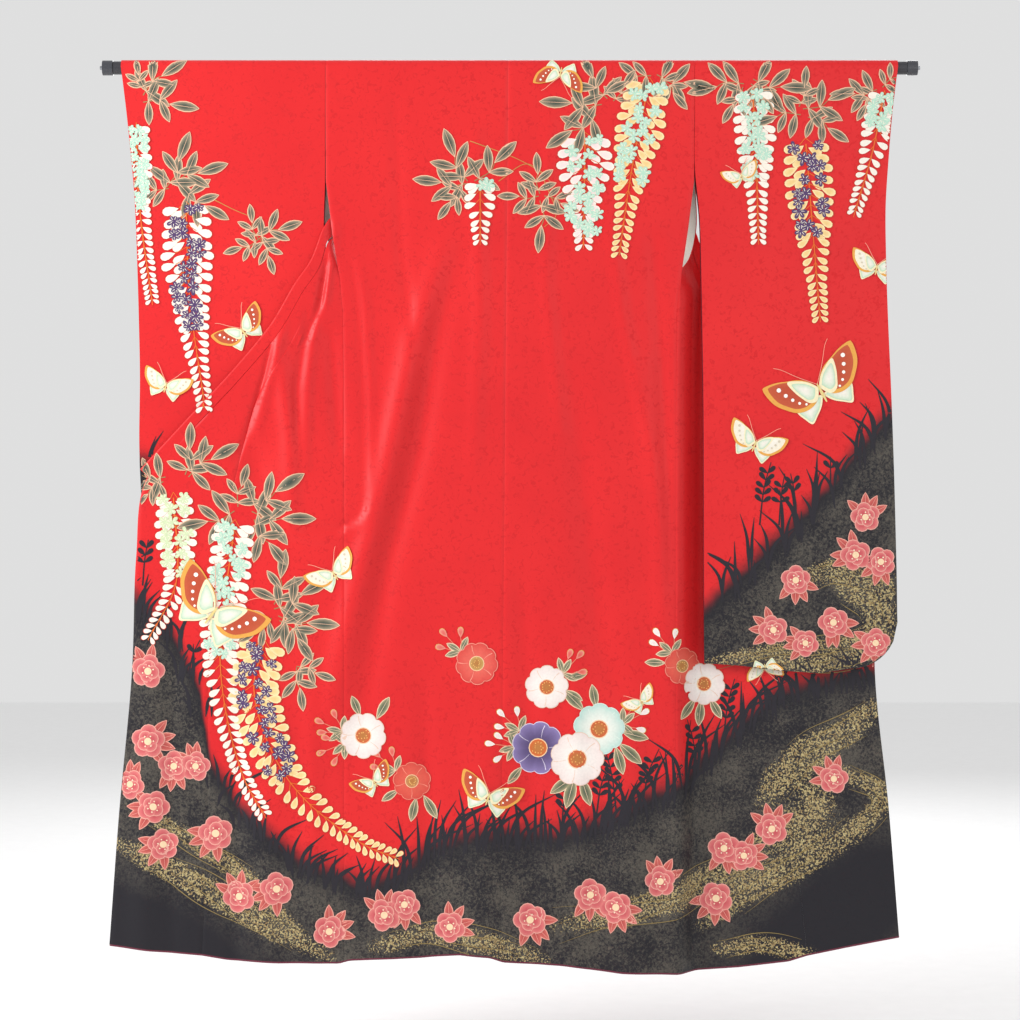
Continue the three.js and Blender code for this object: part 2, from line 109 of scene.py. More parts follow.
def bump(tree, height, strength, depth):
    """Relief that is at most this many metres deep"""
    relief = {"Height": height, "Strength": strength, "Distance": depth}
    return node(tree, "ShaderNodeBump", relief).outputs["Normal"]


def feed(tree, shader, **sockets):
    """Links sockets to the shader's inputs of these names"""
    for key, value in sockets.items():
        tree.links.new(value, shader.inputs[key.replace("_", " ")])


def dress(cad_nodes, material):
    """Gives CAD nodes that stay as they are their material"""
    for cad_node in cad_nodes:
        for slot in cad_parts[cad_node].material_slots:
            slot.material = material


# Painted aluminium: faint lengthways drawing marks under a satin coat
painted, tree, shader, place = shaded("black_painted_aluminium", Roughness=0.34, Specular_IOR_Level=0.5)
drawn = node(tree, "ShaderNodeMapping", {"Vector": place, "Scale": (4, 900, 900)})
marks = noise(tree, drawn.outputs[0], 1.0, 3.0)
feed(tree, shader, Base_Color=ramp(tree, marks, "#26262A", "#3A3A40"), Normal=bump(tree, marks, 0.15, 0.0002))
dress(["rod"], painted)

# Moulded ABS end caps: gloss with the faint orange peel of the mould
moulded, tree, shader, place = shaded("moulded_abs", Roughness=0.22, IOR=1.54)
peel = noise(tree, place, 700.0)
feed(tree, shader, Base_Color=ramp(tree, peel, "#2B2C31", "#44464D"), Normal=bump(tree, peel, 0.2, 0.0002))
dress(["rod_cap_left", "rod_cap_right"], moulded)

# Turned steel pins: bright, with rings left by the lathe
steel, tree, shader, place = shaded("turned_steel", Metallic=1.0, Roughness=0.3)
rings = node(tree, "ShaderNodeTexWave", {"Vector": place, "Scale": 900.0}, wave_type="RINGS",
             rings_direction="X")
feed(tree, shader, Base_Color=ramp(tree, rings.outputs["Fac"], "#9EA1A6", "#C9CCD0"))
dress(["rod_pin_left", "rod_pin_right"], steel)

# ---------------------------------------------------------------------------
# Body panels: two lengths of rinzu, a figured silk satin, each cut in one
# from the back hem over the shoulder to the front hem. They are joined at
# the centre back and fall over the rod with soft creases.
# ---------------------------------------------------------------------------
WALL = 1.6  # silk and lining together
SEAM = 0.02  # the sewn edges meet
ROD_R, ROD_GAP = 11.5, 0.4
DRAPE_R = ROD_R + ROD_GAP + WALL / 2  # of the cloth's middle over the rod
SHOULDER = 322.5  # x of the body's edge at the armhole's seam
NECK_HALF = 100  # half of the width of the neck's cut
NECK_TURN = math.pi / 8  # angle past the top of the rod where the cut has its full width
ARC_STEPS = 24  # faces over the rod
PANEL_WIDTH = 290
HEM = 1560  # from the rod's axis down to the hem of the tables below
STEP, FRONT_STEP = 7.5, 6.0  # spacing of the mesh along and across the cloth, and along the fronts
NEAR_FROM, NEAR_FULL = 10, 13  # only cloth that lies this near has creases

# where the hem hangs: x and drop
HEM_LINE = np.array([
    (-698, 1531), (-630, 1540), (-537, 1548), (-490, 1556), (-402, 1561), (-298, 1562), (-280, 1557),
    (-158, 1552), (-88, 1547), (-35, 1552), (-12, 1560), (88, 1566), (193, 1579), (298, 1582),
    (403, 1575), (490, 1565), (522, 1555), (595, 1540), (684, 1523),
])
# creases of the cloth nearest the back: half width, height (a trough is negative), path of x, z
CREASES = [
    (24, 11.2, [(-114, -319), (-166, -476), (-219, -721), (-289, -1001), (-315, -1130)]),
    (22, -7.5, [(-100, -336), (-132, -494), (-160, -669), (-214, -861), (-246, -1071), (-275, -1230)]),
    (26, -5, [(114, -561), (131, -756), (158, -1001), (201, -1126)]),
    (16, 6.2, [(-404, -484), (-384, -640), (-380, -800)]),
    (14, -3.8, [(-312, -470), (-299, -660)]),
    (26, -7.5, [(-445, -680), (-440, -720)]),
    (34, 7.5, [(-40, -1180), (-60, -1560)]),
    (38, 8.8, [(196, -1150), (215, -1600)]),
    (36, 7.5, [(-420, -1150), (-425, -1570)]),
    (26, 6.2, [(-620, -1000), (-640, -1540)]),
]


def lookup(table, key):
    return np.interp(key, table[:, 0], table[:, 1])


def crease_height(points, creases):
    """Height of the creases at points of x and z, each a soft ridge that fades at both ends"""
    total = np.zeros(len(points))
    for half_width, height, path in creases:
        best = np.zeros(len(points))
        last = len(path) - 2
        for i in range(last + 1):
            a, b = np.array(path[i], float), np.array(path[i + 1], float)
            along = b - a
            t = np.clip(((points - a) @ along) / (along @ along), 0, 1)
            away = np.linalg.norm(points - a - t[:, None] * along, axis=1)
            fade = np.sin(np.pi * (i + t + 0.6) / (last + 2.2))
            best = np.maximum(best, np.exp(-((away / half_width) ** 2)) * fade)
        total += best * height
    return total


def smooth(low, high, value):
    t = np.clip((value - low) / (high - low), 0, 1)
    return t * t * (3 - 2 * t)


def hang(points):
    """Lets the cloth down to the hem line and lays the creases on its nearest side"""
    shape = points.shape
    p = points.reshape(-1, 3).copy()
    drop = np.clip(-p[:, 2] / HEM, 0, 1)
    p[:, 2] *= 1 + (lookup(HEM_LINE, p[:, 0]) / HEM - 1) * drop**2
    p[:, 1] -= smooth(NEAR_FROM, NEAR_FULL, -p[:, 1]) * crease_height(p[:, [0, 2]], CREASES + FINE_CREASES)
    return p.reshape(shape)


# smaller creases that the solids leave out
FINE_CREASES = [
    (7, 3.4, [(-303, -273), (-322, -411)]),
    (7, -5.7, [(-318, -340), (-330, -410), (-352, -470)]),
    (9, 3, [(-336, -420), (-352, -560), (-356, -700)]),
    (8, -3, [(-352, -430), (-372, -560), (-372, -650)]),
    (5, -4.2, [(-411, -464), (-429, -539), (-459, -639), (-478, -690)]),
    (8, 2.8, [(-392, -450), (-416, -540), (-440, -640)]),
    (6.5, -2.6, [(-276, -334), (-268, -383), (-258, -470), (-254, -620), (-254, -770)]),
    (8, 2.6, [(-266, -340), (-256, -400), (-244, -560), (-243, -780)]),
    (6.5, -3.4, [(-250, -740), (-262, -785), (-300, -808), (-350, -806), (-400, -790)]),
    (9, 3.2, [(-252, -786), (-300, -824), (-350, -822), (-400, -808)]),
    (14, 3.4, [(-60, -120), (-52, -420), (-64, -700)]),
    (10, -2.3, [(-200, -60), (-190, -330), (-160, -520)]),
    (12, 3, [(70, -90), (62, -380), (90, -640)]),
    (16, 4.2, [(232, -520), (262, -800), (270, -1100)]),
    (12, -3.4, [(250, -300), (268, -560), (282, -900)]),
    (10, 2.7, [(170, -240), (196, -430), (240, -660)]),
    (20, -4.6, [(20, -900), (36, -1200), (44, -1560)]),
    (16, 3.8, [(110, -1020), (120, -1300), (122, -1560)]),
    (18, -4.2, [(-150, -1080), (-142, -1300), (-130, -1560)]),
    (16, 3.4, [(-350, -1000), (-345, -1280), (-340, -1560)]),
    (15, -3.8, [(-470, -1000), (-478, -1300), (-480, -1560)]),
    (12, -3, [(-580, -900), (-590, -1200), (-590, -1540)]),
    (30, 3, [(-240, -1360), (-205, -1560)]),
    (26, -3, [(250, -1180), (262, -1560)]),
]

# the back, hem upwards: y and z at the centre back seam, x, y and z at the side seam
BACK = [
    (-16, -1560, 289, -16, -1560),
    (-17, -1300, 289, -16, -1300),
    (-16, -960, 289, -15, -960),
    (-15, -600, 290, -14, -600),
    (-14, -430, 292, -13.6, -430),
    (-14, -360, 299, -13.4, -360),
    (-13.5, -280, 311, -13.4, -280),
    (-13.2, -200, 321, -13.2, -200),
    (-12.8, -60, 322, -12.8, -60),
]
# the fronts, downwards: x, y and z at the inner edge, then at the armhole or the side seam. Above the armpit
# both are alike, on the far side.
FRONT_TOP = [
    (128, 13, -40, 322, 12.8, -50),
    (165, 14, -90, 322, 13, -110),
    (202, 15, -142, 323, 13.2, -168),
    (240, 15, -195, 326, 13.5, -222),
    (272, 14, -243, 327, 13, -272),
]
KENSAKI = 3  # row of FRONT_TOP where the overlap panel begins
# the left front comes through the gap under the armhole and spreads out nearer than the sleeve
FRONT_LEFT = [
    (-295, 13.5, -285, -314, 12, -312),
    (-306, 8, -300, -304, 7, -332),
    (-309, -1, -306, -301, -1, -341),
    (-311, -9, -311, -300, -8, -349),
    (-314, -15, -320, -299, -13.4, -362),
    (-324, -17, -361, -295, -13.6, -395),
    (-345, -18, -405, -293, -13.8, -450),
    (-380, -18, -478, -291, -14, -540),
    (-438, -18, -572, -290, -14.2, -650),
    (-462, -18, -650, -290, -14.4, -740),
    (-486, -18, -752, -289, -14.6, -840),
    (-508, -17, -880, -289, -15, -960),
    (-525, -17, -1060, -289, -15.2, -1130),
    (-527, -16, -1320, -289, -16, -1340),
    (-537, -16, -1560, -289, -16, -1560),
]
# the right front stays on the far side and spreads out behind the sleeve
FRONT_RIGHT = [
    (295, 16, -285, 321, 10, -312),
    (304, 18, -300, 313, 6, -335),
    (308, 21, -306, 306, 0, -345),
    (311, 25, -311, 301, -7, -351),
    (314, 27, -320, 298, -12.5, -362),
    (324, 27, -361, 295, -13.6, -395),
    (345, 26, -405, 293, -13.8, -450),
    (380, 25, -478, 291, -14, -540),
    (438, 24, -572, 290, -14.2, -650),
    (466, 22, -650, 290, -14.4, -740),
    (488, 22, -752, 289, -14.6, -840),
    (493, 21, -880, 289, -15, -960),
    (488, 20, -1050, 289, -15.2, -1130),
    (500, 18, -1320, 289, -16, -1340),
    (522, 16, -1560, 289, -16, -1560),
]
SIDE_SEAM = np.array([(row[4], row[2]) for row in BACK], float)
CENTRE_TOP, CENTRE_HEM = -3, -17  # x of the centre back seam
# the right front's turn away behind the sleeve: it moves cloth with a higher x and y than these, starts and
# is full at these heights, and takes this width to go from the near to the far y
AWAY_X, AWAY_Y = 280, -16.5
AWAY_FROM, AWAY_FULL, AWAY_WIDTH, AWAY_NEAR, AWAY_FAR = -330, -430, 44, -14, 20


def mirrored(rows):
    return [tuple(-v if i % 3 == 0 else v for i, v in enumerate(row)) for row in rows]


def behind_sleeve(points):
    """Turns the right front away from its side seam, to pass behind the sleeve's open edge"""
    shape = points.shape
    p = points.reshape(-1, 3).copy()
    moved = (p[:, 2] <= AWAY_FROM) & (p[:, 0] >= AWAY_X) & (p[:, 1] >= AWAY_Y)
    far = smooth(0, AWAY_WIDTH, p[:, 0] - lookup(SIDE_SEAM, p[:, 2]) - SEAM)
    share = smooth(-AWAY_FROM, -AWAY_FULL, -p[:, 2])
    bent = np.minimum(p[:, 1], AWAY_NEAR) * (1 - far) + AWAY_FAR * far
    p[:, 1] = np.where(moved, p[:, 1] * (1 - share) + bent * share, p[:, 1])
    return p.reshape(shape)


def through(knots, spacing=STEP):
    """Smooth curves through rows of knots, an array of knots x curves x 3, cut in step with each other"""
    pts = np.concatenate([2 * knots[:1] - knots[1:2], knots, 2 * knots[-1:] - knots[-2:-1]])
    gaps = np.maximum(np.linalg.norm(np.diff(pts, axis=0), axis=2, keepdims=True), 1e-6) ** 0.5
    out = []
    for i in range(len(knots) - 1):
        a, b, c, d = pts[i : i + 4]
        before, gap, after = gaps[i : i + 3]
        start = ((b - a) / before - (c - a) / (before + gap) + (c - b) / gap) * gap
        end = ((c - b) / gap - (d - b) / (gap + after) + (d - c) / after) * gap
        count = max(1, round(float(gap.max()) ** 2 / spacing))
        for t in np.arange(count) / count:
            square, cube = 3 * (c - b) - 2 * start - end, 2 * (b - c) + start + end
            out.append(b + start * t + square * t**2 + cube * t**3)
    return np.array([*out, knots[-1]])


def polyline(places, spacing):
    """Points at an even spacing along a soft curve through a few places"""
    knots = np.array([[(x, z, 0)] for x, z in places], float)
    return through(knots, spacing)[:, 0, :2]


def two_edges(rows, spacing=STEP):
    """The inner and outer edge of a cloth through its table's rows"""
    curves = through(np.array([[row[:3], row[3:]] for row in rows], float), spacing)
    return curves[:, 0], curves[:, 1]


GROOVE, GROOVE_DEPTH = 1.5, 0.7  # the sewn edges turn in a little


def between(inner, outer, across, outside):
    """The middle surface between two edges, with a fine groove along each for the seam"""
    near = GROOVE / PANEL_WIDTH
    share = np.concatenate([[0, near], np.linspace(0, 1, across + 1)[1:-1], [1 - near, 1]])
    u = share[None, :, None]
    grid = inner[:, None] * (1 - u) + outer[:, None] * u
    for edge in (0, -1):
        face = outside * np.cross(np.gradient(grid[:, edge], axis=0), outer - inner)
        grid[:, edge] -= face / np.maximum(np.linalg.norm(face, axis=1, keepdims=True), 1e-9) * GROOVE_DEPTH
    return grid


def add_mesh(name, verts, faces):
    """A smooth mesh from points in metres"""
    mesh = bpy.data.meshes.new(name)
    mesh.from_pydata(verts, [], faces)
    mesh.update()
    mesh.polygons.foreach_set("use_smooth", np.ones(len(faces), dtype=bool))
    made = bpy.data.objects.new(name, mesh)
    bpy.context.collection.objects.link(made)
    return made


SHARP = math.radians(50)


def cloth(name, grid, outside, ring=False):
    """A thin wall on a grid of middle points. The first material is the face, the second the lining.
    The face is on the side of rows x columns if outside is 1, and on the other if it is -1."""
    rows, columns = grid.shape[:2]
    along = np.gradient(grid, axis=0)
    if ring:
        across = (np.roll(grid, -1, axis=1) - np.roll(grid, 1, axis=1)) / 2
    else:
        across = np.gradient(grid, axis=1)
    normal = np.cross(along, across)
    normal /= np.maximum(np.linalg.norm(normal, axis=2, keepdims=True), 1e-9)
    verts = np.concatenate([grid + normal * WALL / 2, grid - normal * WALL / 2]).reshape(-1, 3)
    index = np.arange(rows * columns).reshape(rows, columns)
    if ring:
        index = np.concatenate([index, index[:, :1]], axis=1)
    back = index + rows * columns

    def quads(a, b, c, d):
        return np.stack([a.ravel(), b.ravel(), c.ravel(), d.ravel()], axis=1)

    face = quads(index[:-1, :-1], index[1:, :-1], index[1:, 1:], index[:-1, 1:])
    lining = quads(back[:-1, 1:], back[1:, 1:], back[1:, :-1], back[:-1, :-1])
    rims = [
        quads(index[0, :-1], index[0, 1:], back[0, 1:], back[0, :-1]),
        quads(index[-1, 1:], index[-1, :-1], back[-1, :-1], back[-1, 1:]),
    ]
    if not ring:
        rims.append(quads(index[1:, 0], index[:-1, 0], back[:-1, 0], back[1:, 0]))
        rims.append(quads(index[:-1, -1], index[1:, -1], back[1:, -1], back[:-1, -1]))
    faces = np.concatenate([face, lining, *rims])
    made = add_mesh(name, verts * MM, faces.tolist())
    sides = np.zeros(len(faces), dtype=np.int32)
    first = 0 if outside < 0 else len(face)
    sides[first : first + len(face)] = 1
    made.data.polygons.foreach_set("material_index", sides)
    made.data.set_sharp_from_angle(angle=SHARP)
    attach(made, "root")
    return made


def over_rod(side, centre):
    """The panel's edges over the top of the rod, with the neck's cut on the far side of the top"""
    angle = np.linspace(math.pi, 0, ARC_STEPS + 1)
    cut = np.clip((math.pi / 2 - angle) / NECK_TURN, 0, 1)
    y, z = DRAPE_R * np.cos(angle), DRAPE_R * np.sin(angle)
    inner = np.stack([centre * (1 - cut) + side * NECK_HALF * cut, y, z], axis=1)
    return inner, np.stack([np.full_like(y, side * SHOULDER), y, z], axis=1)


def spread(tree, value, low, high, to_low=0.0, to_high=1.0, **settings):
    """Stretches a range of values to another"""
    ranges = {"Value": value, "From Min": low, "From Max": high, "To Min": to_low, "To Max": to_high}
    return node(tree, "ShaderNodeMapRange", ranges, **settings).outputs[0]


def weigh(tree, value, factor, extra=0.0, **settings):
    """A value times a factor plus an extra"""
    terms = {0: value, 1: factor, 2: extra}
    return node(tree, "ShaderNodeMath", terms, operation="MULTIPLY_ADD", **settings).outputs[0]


def mix(tree, share, first, second):
    """Two colours mixed by the share of the second"""
    return node(tree, "ShaderNodeMix", {0: share, 6: first, 7: second}, data_type="RGBA").outputs[2]


# Red rinzu: silk satin, whose woven figure shows as small, slightly deeper flecks. It is dyed in
# the piece: a soft airbrushed black rises from the hem, with speckled streams of gold in it.
def rinzu(name):
    made, tree, shader, place = shaded(name, Specular_IOR_Level=0.3, Sheen_Weight=0.05, Sheen_Roughness=0.4)
    dyes = node(tree, "ShaderNodeAttribute", attribute_name="dye").outputs["Color"]
    zones = node(tree, "ShaderNodeSeparateColor", {"Color": dyes}).outputs
    reds = ramp(tree, noise(tree, place, 4.0, 3.0), "#D71D22", "#DF2325", 0.3, 0.7)
    woven = spread(tree, noise(tree, place, 120.0, Distortion=1.2), 0.56, 0.66)
    flecked = mix(tree, woven, reds, colour("#D0191E"))
    # the black ground: fine leaf-like mottling in warm grey, which fades out towards the plain corners
    foliage = noise(tree, place, 210.0, 5.0, Roughness=0.7, Distortion=0.8)
    leafy = spread(tree, weigh(tree, noise(tree, place, 17.0), 0.4, foliage), 0.62, 0.84)
    black = mix(tree, weigh(tree, leafy, zones["Blue"]), colour("#1B1920"), colour("#565149"))
    # speckled gold: grains 2 to 4 mm across, thrown along the streams
    grains = noise(tree, place, 330.0, Roughness=0.6)
    dense = weigh(tree, noise(tree, place, 30.0, 3.0), 0.12, grains)
    specks = spread(tree, weigh(tree, zones["Green"], 0.13, dense), 0.685, 0.72)
    thrown = weigh(tree, specks, weigh(tree, zones["Green"], 3.0, use_clamp=True))
    golden = mix(tree, thrown, black, ramp(tree, foliage, "#70502E", "#CFC08A", 0.35, 0.65))
    # the airbrushed edge between the red and the black is a little ragged
    airbrush = weigh(tree, noise(tree, place, 30.0, 4.0), 0.4, zones["Red"])
    blackened = spread(tree, airbrush, 0.2, 1.0, interpolation_type="SMOOTHSTEP")
    # the woven figure is duller than its ground, and stands out from it by less than a thread
    relief = weigh(tree, noise(tree, place, 900.0), 0.6, woven)
    feed(tree, shader, Base_Color=mix(tree, blackened, flecked, golden),
         Roughness=spread(tree, woven, 0.0, 1.0, 0.4, 0.55), Normal=bump(tree, relief, 0.2, 0.0003))
    return made


# Lining: plain white silk above, and from the knees down the hakkake, a skirt of deep red-purple silk
def lining_silk(name, skirt_from):
    made, tree, shader, place = shaded(name, Roughness=0.5, Sheen_Weight=0.2, Specular_IOR_Level=0.4)
    height = node(tree, "ShaderNodeSeparateXYZ", {"Vector": place}).outputs["Z"]
    skirt = spread(tree, height, skirt_from - 0.001, skirt_from, 1.0, 0.0)
    crepe = noise(tree, place, 420.0, 3.0)
    both = mix(tree, skirt, ramp(tree, crepe, "#DDD6CC", "#F3EEE6"), ramp(tree, crepe, "#541328", "#741E38"))
    feed(tree, shader, Base_Color=both, Normal=bump(tree, crepe, 0.2, 0.0003))
    return made


red_rinzu = rinzu("red_rinzu_silk")
body_lining = lining_silk("white_silk_and_hakkake", -0.95)

# where the black begins, as x and z, on the body and on the sleeves
BODY_BLACK = np.array([
    (-700, -880), (-651, -925), (-590, -985), (-542, -1080), (-522, -1210), (-470, -1290), (-368, -1380),
    (-250, -1425), (-190, -1400), (-130, -1350), (-60, -1335), (87, -1335), (160, -1310), (300, -1245),
    (400, -1150), (470, -1090), (560, -1065), (700, -1040),
], float)
SLEEVE_BLACK = np.array([
    (-700, -655), (-640, -690), (-560, -760), (-480, -815), (-300, -900), (300, -990), (340, -945),
    (420, -865), (500, -790), (560, -725), (620, -650), (680, -585),
], float)
# streams of gold: half width, strength, path
BODY_STREAMS = [
    (21, 1.0, [(-690, -1352), (-600, -1395), (-520, -1440), (-437, -1490), (-315, -1552)]),
    (16, 0.8, [(-660, -1290), (-560, -1345), (-450, -1420), (-380, -1500)]),
    (19, 0.9, [(-235, -1535), (-140, -1510), (-40, -1528), (60, -1560)]),
    (24, 1.0, [(80, -1500), (200, -1475), (298, -1450), (370, -1410), (430, -1370), (490, -1310)]),
    (25, 1.0, [(656, -1112), (583, -1169), (516, -1202), (470, -1246), (444, -1284)]),
    (17, 0.9, [(590, -1236), (646, -1262), (652, -1292), (606, -1338)]),
    (22, 1.0, [(610, -1336), (562, -1364), (511, -1396), (462, -1420), (404, -1452), (330, -1505)]),
    (16, 0.8, [(365, -1545), (440, -1536), (530, -1556)]),
    (40, 0.55, [(540, -1240), (540, -1300), (490, -1370)]),
]
SLEEVE_STREAMS = [
    (13, 1.0, [(345, -1040), (415, -1028), (480, -1014), (545, -1010), (605, -1000), (655, -965)]),
    (14, 0.9, [(470, -1040), (535, -1046), (600, -1034), (655, -1005)]),
    (19, 1.0, [(512, -894), (560, -878), (612, -892), (660, -905)]),
    (27, 0.9, [(590, -908), (640, -935), (655, -985)]),
]
# plain black, away from the streams
BODY_PLAIN = [
    (85, 1.5, [(-740, -1450), (-600, -1530), (-450, -1600)]),
    (100, 1.6, [(400, -1600), (540, -1520), (640, -1440), (740, -1380)]),
]


AIRBRUSHED = (-50, 45)  # from above to below the black's edge
STREAM_EDGE, STREAM_START, LEAFY_START = (0.15, 0.55), (0, 40), (0, 70)


def dye(piece, black, streams, plain=()):
    """Writes where the cloth is black, golden and leafy as a colour attribute of its points"""
    mesh = piece.data
    co = np.empty(len(mesh.vertices) * 3)
    mesh.vertices.foreach_get("co", co)
    xz = co.reshape(-1, 3)[:, [0, 2]] / MM
    depth = lookup(black, xz[:, 0]) - xz[:, 1]
    zone = smooth(*AIRBRUSHED, depth)
    gold = smooth(*STREAM_EDGE, crease_height(xz, streams)) * smooth(*STREAM_START, depth)
    bare = np.clip(crease_height(xz, plain), 0, 1)
    leafy = smooth(*LEAFY_START, depth) * (1 - bare)
    values = np.stack([zone, gold, leafy, np.ones_like(zone)], axis=1)
    layer = mesh.color_attributes.new("dye", "FLOAT_COLOR", "POINT")
    layer.data.foreach_set("color", values.ravel())


SEAM_NEAR, SEAM_BELOW = -13, -365  # nearer and lower than these the front is at the side seam


def body_panel(name, side, front):
    def centre(z):
        return CENTRE_TOP + (CENTRE_HEM - CENTRE_TOP) * -z / HEM + side * SEAM / 2

    top_inner, top_outer = over_rod(side, centre(0))
    back = [(centre(z), y, z, side * seam_x, *seam_yz) for y, z, seam_x, *seam_yz in BACK]
    back.append((*top_inner[0], *top_outer[0]))
    back_inner, back_outer = two_edges(back)
    back_outer[:, 0] = side * lookup(SIDE_SEAM, back_outer[:, 2])
    upper = FRONT_TOP if side > 0 else mirrored(FRONT_TOP)
    below = [(*top_inner[-1], *top_outer[-1]), *upper, *front]
    front_inner, front_outer = two_edges(below, FRONT_STEP)
    seam = (front_outer[:, 1] < SEAM_NEAR) & (front_outer[:, 2] < SEAM_BELOW)
    front_outer[seam, 0] = side * (lookup(SIDE_SEAM, front_outer[seam, 2]) + SEAM)
    inner = np.concatenate([back_inner, top_inner[1:-1], front_inner])
    outer = np.concatenate([back_outer, top_outer[1:-1], front_outer])
    grid = between(inner, outer, round(PANEL_WIDTH / STEP), -side)
    spread_from = len(back_inner) + len(top_inner)
    grid[spread_from:] = behind_sleeve(grid[spread_from:])
    grid = hang(grid)
    HEMS.extend([grid[0], grid[-1]])
    return cloth(name, grid, -side)


HEMS = []  # the lower edge of each panel, for the roll of lining along it
body_left = body_panel("body_panel_left", -1, FRONT_LEFT)
body_right = body_panel("body_panel_right", 1, FRONT_RIGHT)
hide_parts("body_left")
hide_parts("body_right")
for panel in (body_left, body_right):
    panel.data.materials.append(red_rinzu)
    panel.data.materials.append(body_lining)
    dye(panel, BODY_BLACK, BODY_STREAMS, BODY_PLAIN)

# ---------------------------------------------------------------------------
# Overlap panels (okumi): narrow lengths of the same silk, sewn to the front
# edges. They taper to the kensaki, the point where the collar passes over.
# ---------------------------------------------------------------------------
# the outer edge of each row of the front from the kensaki on: collar's seam, then the free edge
OVERLAP_TOP = [(238, 15, -198), (267, 14, -247)]
OVERLAP_LEFT = [
    (-288, 11, -277.5),
    (-306, 7.5, -291),
    (-309, -1, -296),
    (-311, -9, -300),
    (-317, -15, -308),
    (-332, -18, -352),
    (-360, -19, -393),
    (-401, -19, -463),
    (-473, -19, -549),
    (-541, -19, -622),
    (-633, -19, -722),
    (-651, -18, -860),
    (-658, -18, -1060),
    (-681, -17, -1320),
    (-698, -16, -1560),
]
OVERLAP_RIGHT = [
    (289.6, 18.8, -277),
    (303, 20.5, -291),
    (307, 23, -296),
    (311, 26, -300),
    (317, 28, -308),
    (332, 28, -352),
    (360, 27, -393),
    (401, 26, -463),
    (478, 24, -549),
    (553, 23, -622),
    (655, 23, -722),
    (652, 22, -860),
    (641, 21, -1050),
    (666, 18, -1320),
    (684, 16, -1560),
]
# just below the armpit the cloth is bunched, and its edges stand a little further apart
BUNCHED_AT, BUNCHED_REACH, BUNCHED_EXTRA = -282, 46, 3.4
OVERLAP_COLUMNS = 18


def seam_gap(z):
    return SEAM + BUNCHED_EXTRA * np.exp(-(((z - BUNCHED_AT) / BUNCHED_REACH) ** 2))


def overlap_panel(name, side, front, free_edge):
    inner_rows = [*(FRONT_TOP if side > 0 else mirrored(FRONT_TOP))[KENSAKI:], *front]
    outer_rows = [*((side * x, y, z) for x, y, z in OVERLAP_TOP), *free_edge]
    rows = [(*inner[:3], *outer) for inner, outer in zip(inner_rows, outer_rows)]
    inner, outer = two_edges(rows, FRONT_STEP)
    across = outer - inner
    across /= np.linalg.norm(across, axis=1, keepdims=True)
    inner = inner + across * seam_gap(inner[:, 2:3])
    grid = hang(behind_sleeve(between(inner, outer, OVERLAP_COLUMNS, side)))
    HEMS.append(grid[-1])
    return cloth(name, grid, side)


overlap_left = overlap_panel("overlap_panel_left", -1, FRONT_LEFT, OVERLAP_LEFT)
overlap_right = overlap_panel("overlap_panel_right", 1, FRONT_RIGHT, OVERLAP_RIGHT)
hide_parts("overlap_left")
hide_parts("overlap_right")
for panel in (overlap_left, overlap_right):
    panel.data.materials.append(red_rinzu)
    panel.data.materials.append(body_lining)
    dye(panel, BODY_BLACK, BODY_STREAMS, BODY_PLAIN)

# ---------------------------------------------------------------------------
# Collar: one long band of the same silk, folded double lengthways, that runs
# from one front edge round the neck's cut to the other front edge.
# ---------------------------------------------------------------------------
# rows of x, y and z of the seam, the same of the fold, and the width turned under. Above the rod's axis z runs
# along the cloth over the rod, and y is the distance from the axis.
NECK = [
    (0, 13.2, 18.9, 0, 16.6, -50, 38),
    (50, 13.2, 16.2, 42, 16.6, -50, 38),
    (96, 13.3, 13.6, 66, 16.6, -54, 38),
    (99.3, 13.3, 7, 69, 16.6, -59, 38),
    (99.6, 13.3, 0.5, 71, 16.6, -64, 38),
]
COLLAR_TOP = [
    (127, 13.5, -41, 84, 16, -75, 42),
    (164, 14, -92, 120, 16, -124, 44),
    (201, 15, -144, 158, 16, -176, 44),
    (238, 15, -199, 197, 16, -227, 36),
    (266, 14, -248, 229, 15, -252, 30),
]
COLLAR_LEFT = [
    (-285.6, 9.4, -275.2, -263, 6, -257, 20),
    (-306, 7, -290, -300, 4, -261, 20),
    (-309, -1, -295, -310, -3, -265, 20),
    (-311, -9, -299, -314, -11, -270, 20),
    (-317.5, -15, -307, -324, -16, -284, 22),
    (-332.5, -18, -351, -346, -19, -337, 32),
    (-360.5, -19, -392, -375, -20, -379, 44),
    (-401.5, -19, -462, -417, -20, -450, 60),
    (-473.5, -19, -548, -489, -20, -537, 76),
    (-541.5, -19, -621, -555, -20, -608, 84),
    (-630, -19, -718, -644, -20, -705, 84),
]
COLLAR_RIGHT = [
    (289, 19.2, -276.3, 265, 22.5, -257, 20),
    (303, 21, -290, 299, 25, -261, 20),
    (307, 23.5, -295, 308, 27, -265, 20),
    (311, 26.5, -299, 315, 28.5, -270, 20),
    (317.5, 28, -307, 325, 29, -284, 22),
    (332.5, 28, -351, 346, 29, -337, 32),
    (360.5, 27, -392, 375, 28, -379, 44),
    (401.5, 26, -462, 417, 27, -450, 60),
    (478.5, 24, -548, 494, 25, -537, 76),
    (553.5, 23, -621, 568, 24, -608, 84),
    (652, 23, -718, 668, 24, -705, 84),
]
COLLAR_GAP = 4  # between the band's two layers
# where the mesh has its lines: shares of the outer layer's width from the seam, and of the width turned under
OUTER_SHARES = (0, 0.05, 0.1, 0.15, 0.2, 0.25, 0.3, 0.36, 0.45, 0.56, 0.68, 0.8)
UNDER_SHARES = (0.15, 0.3, 0.5, 0.75, 1)


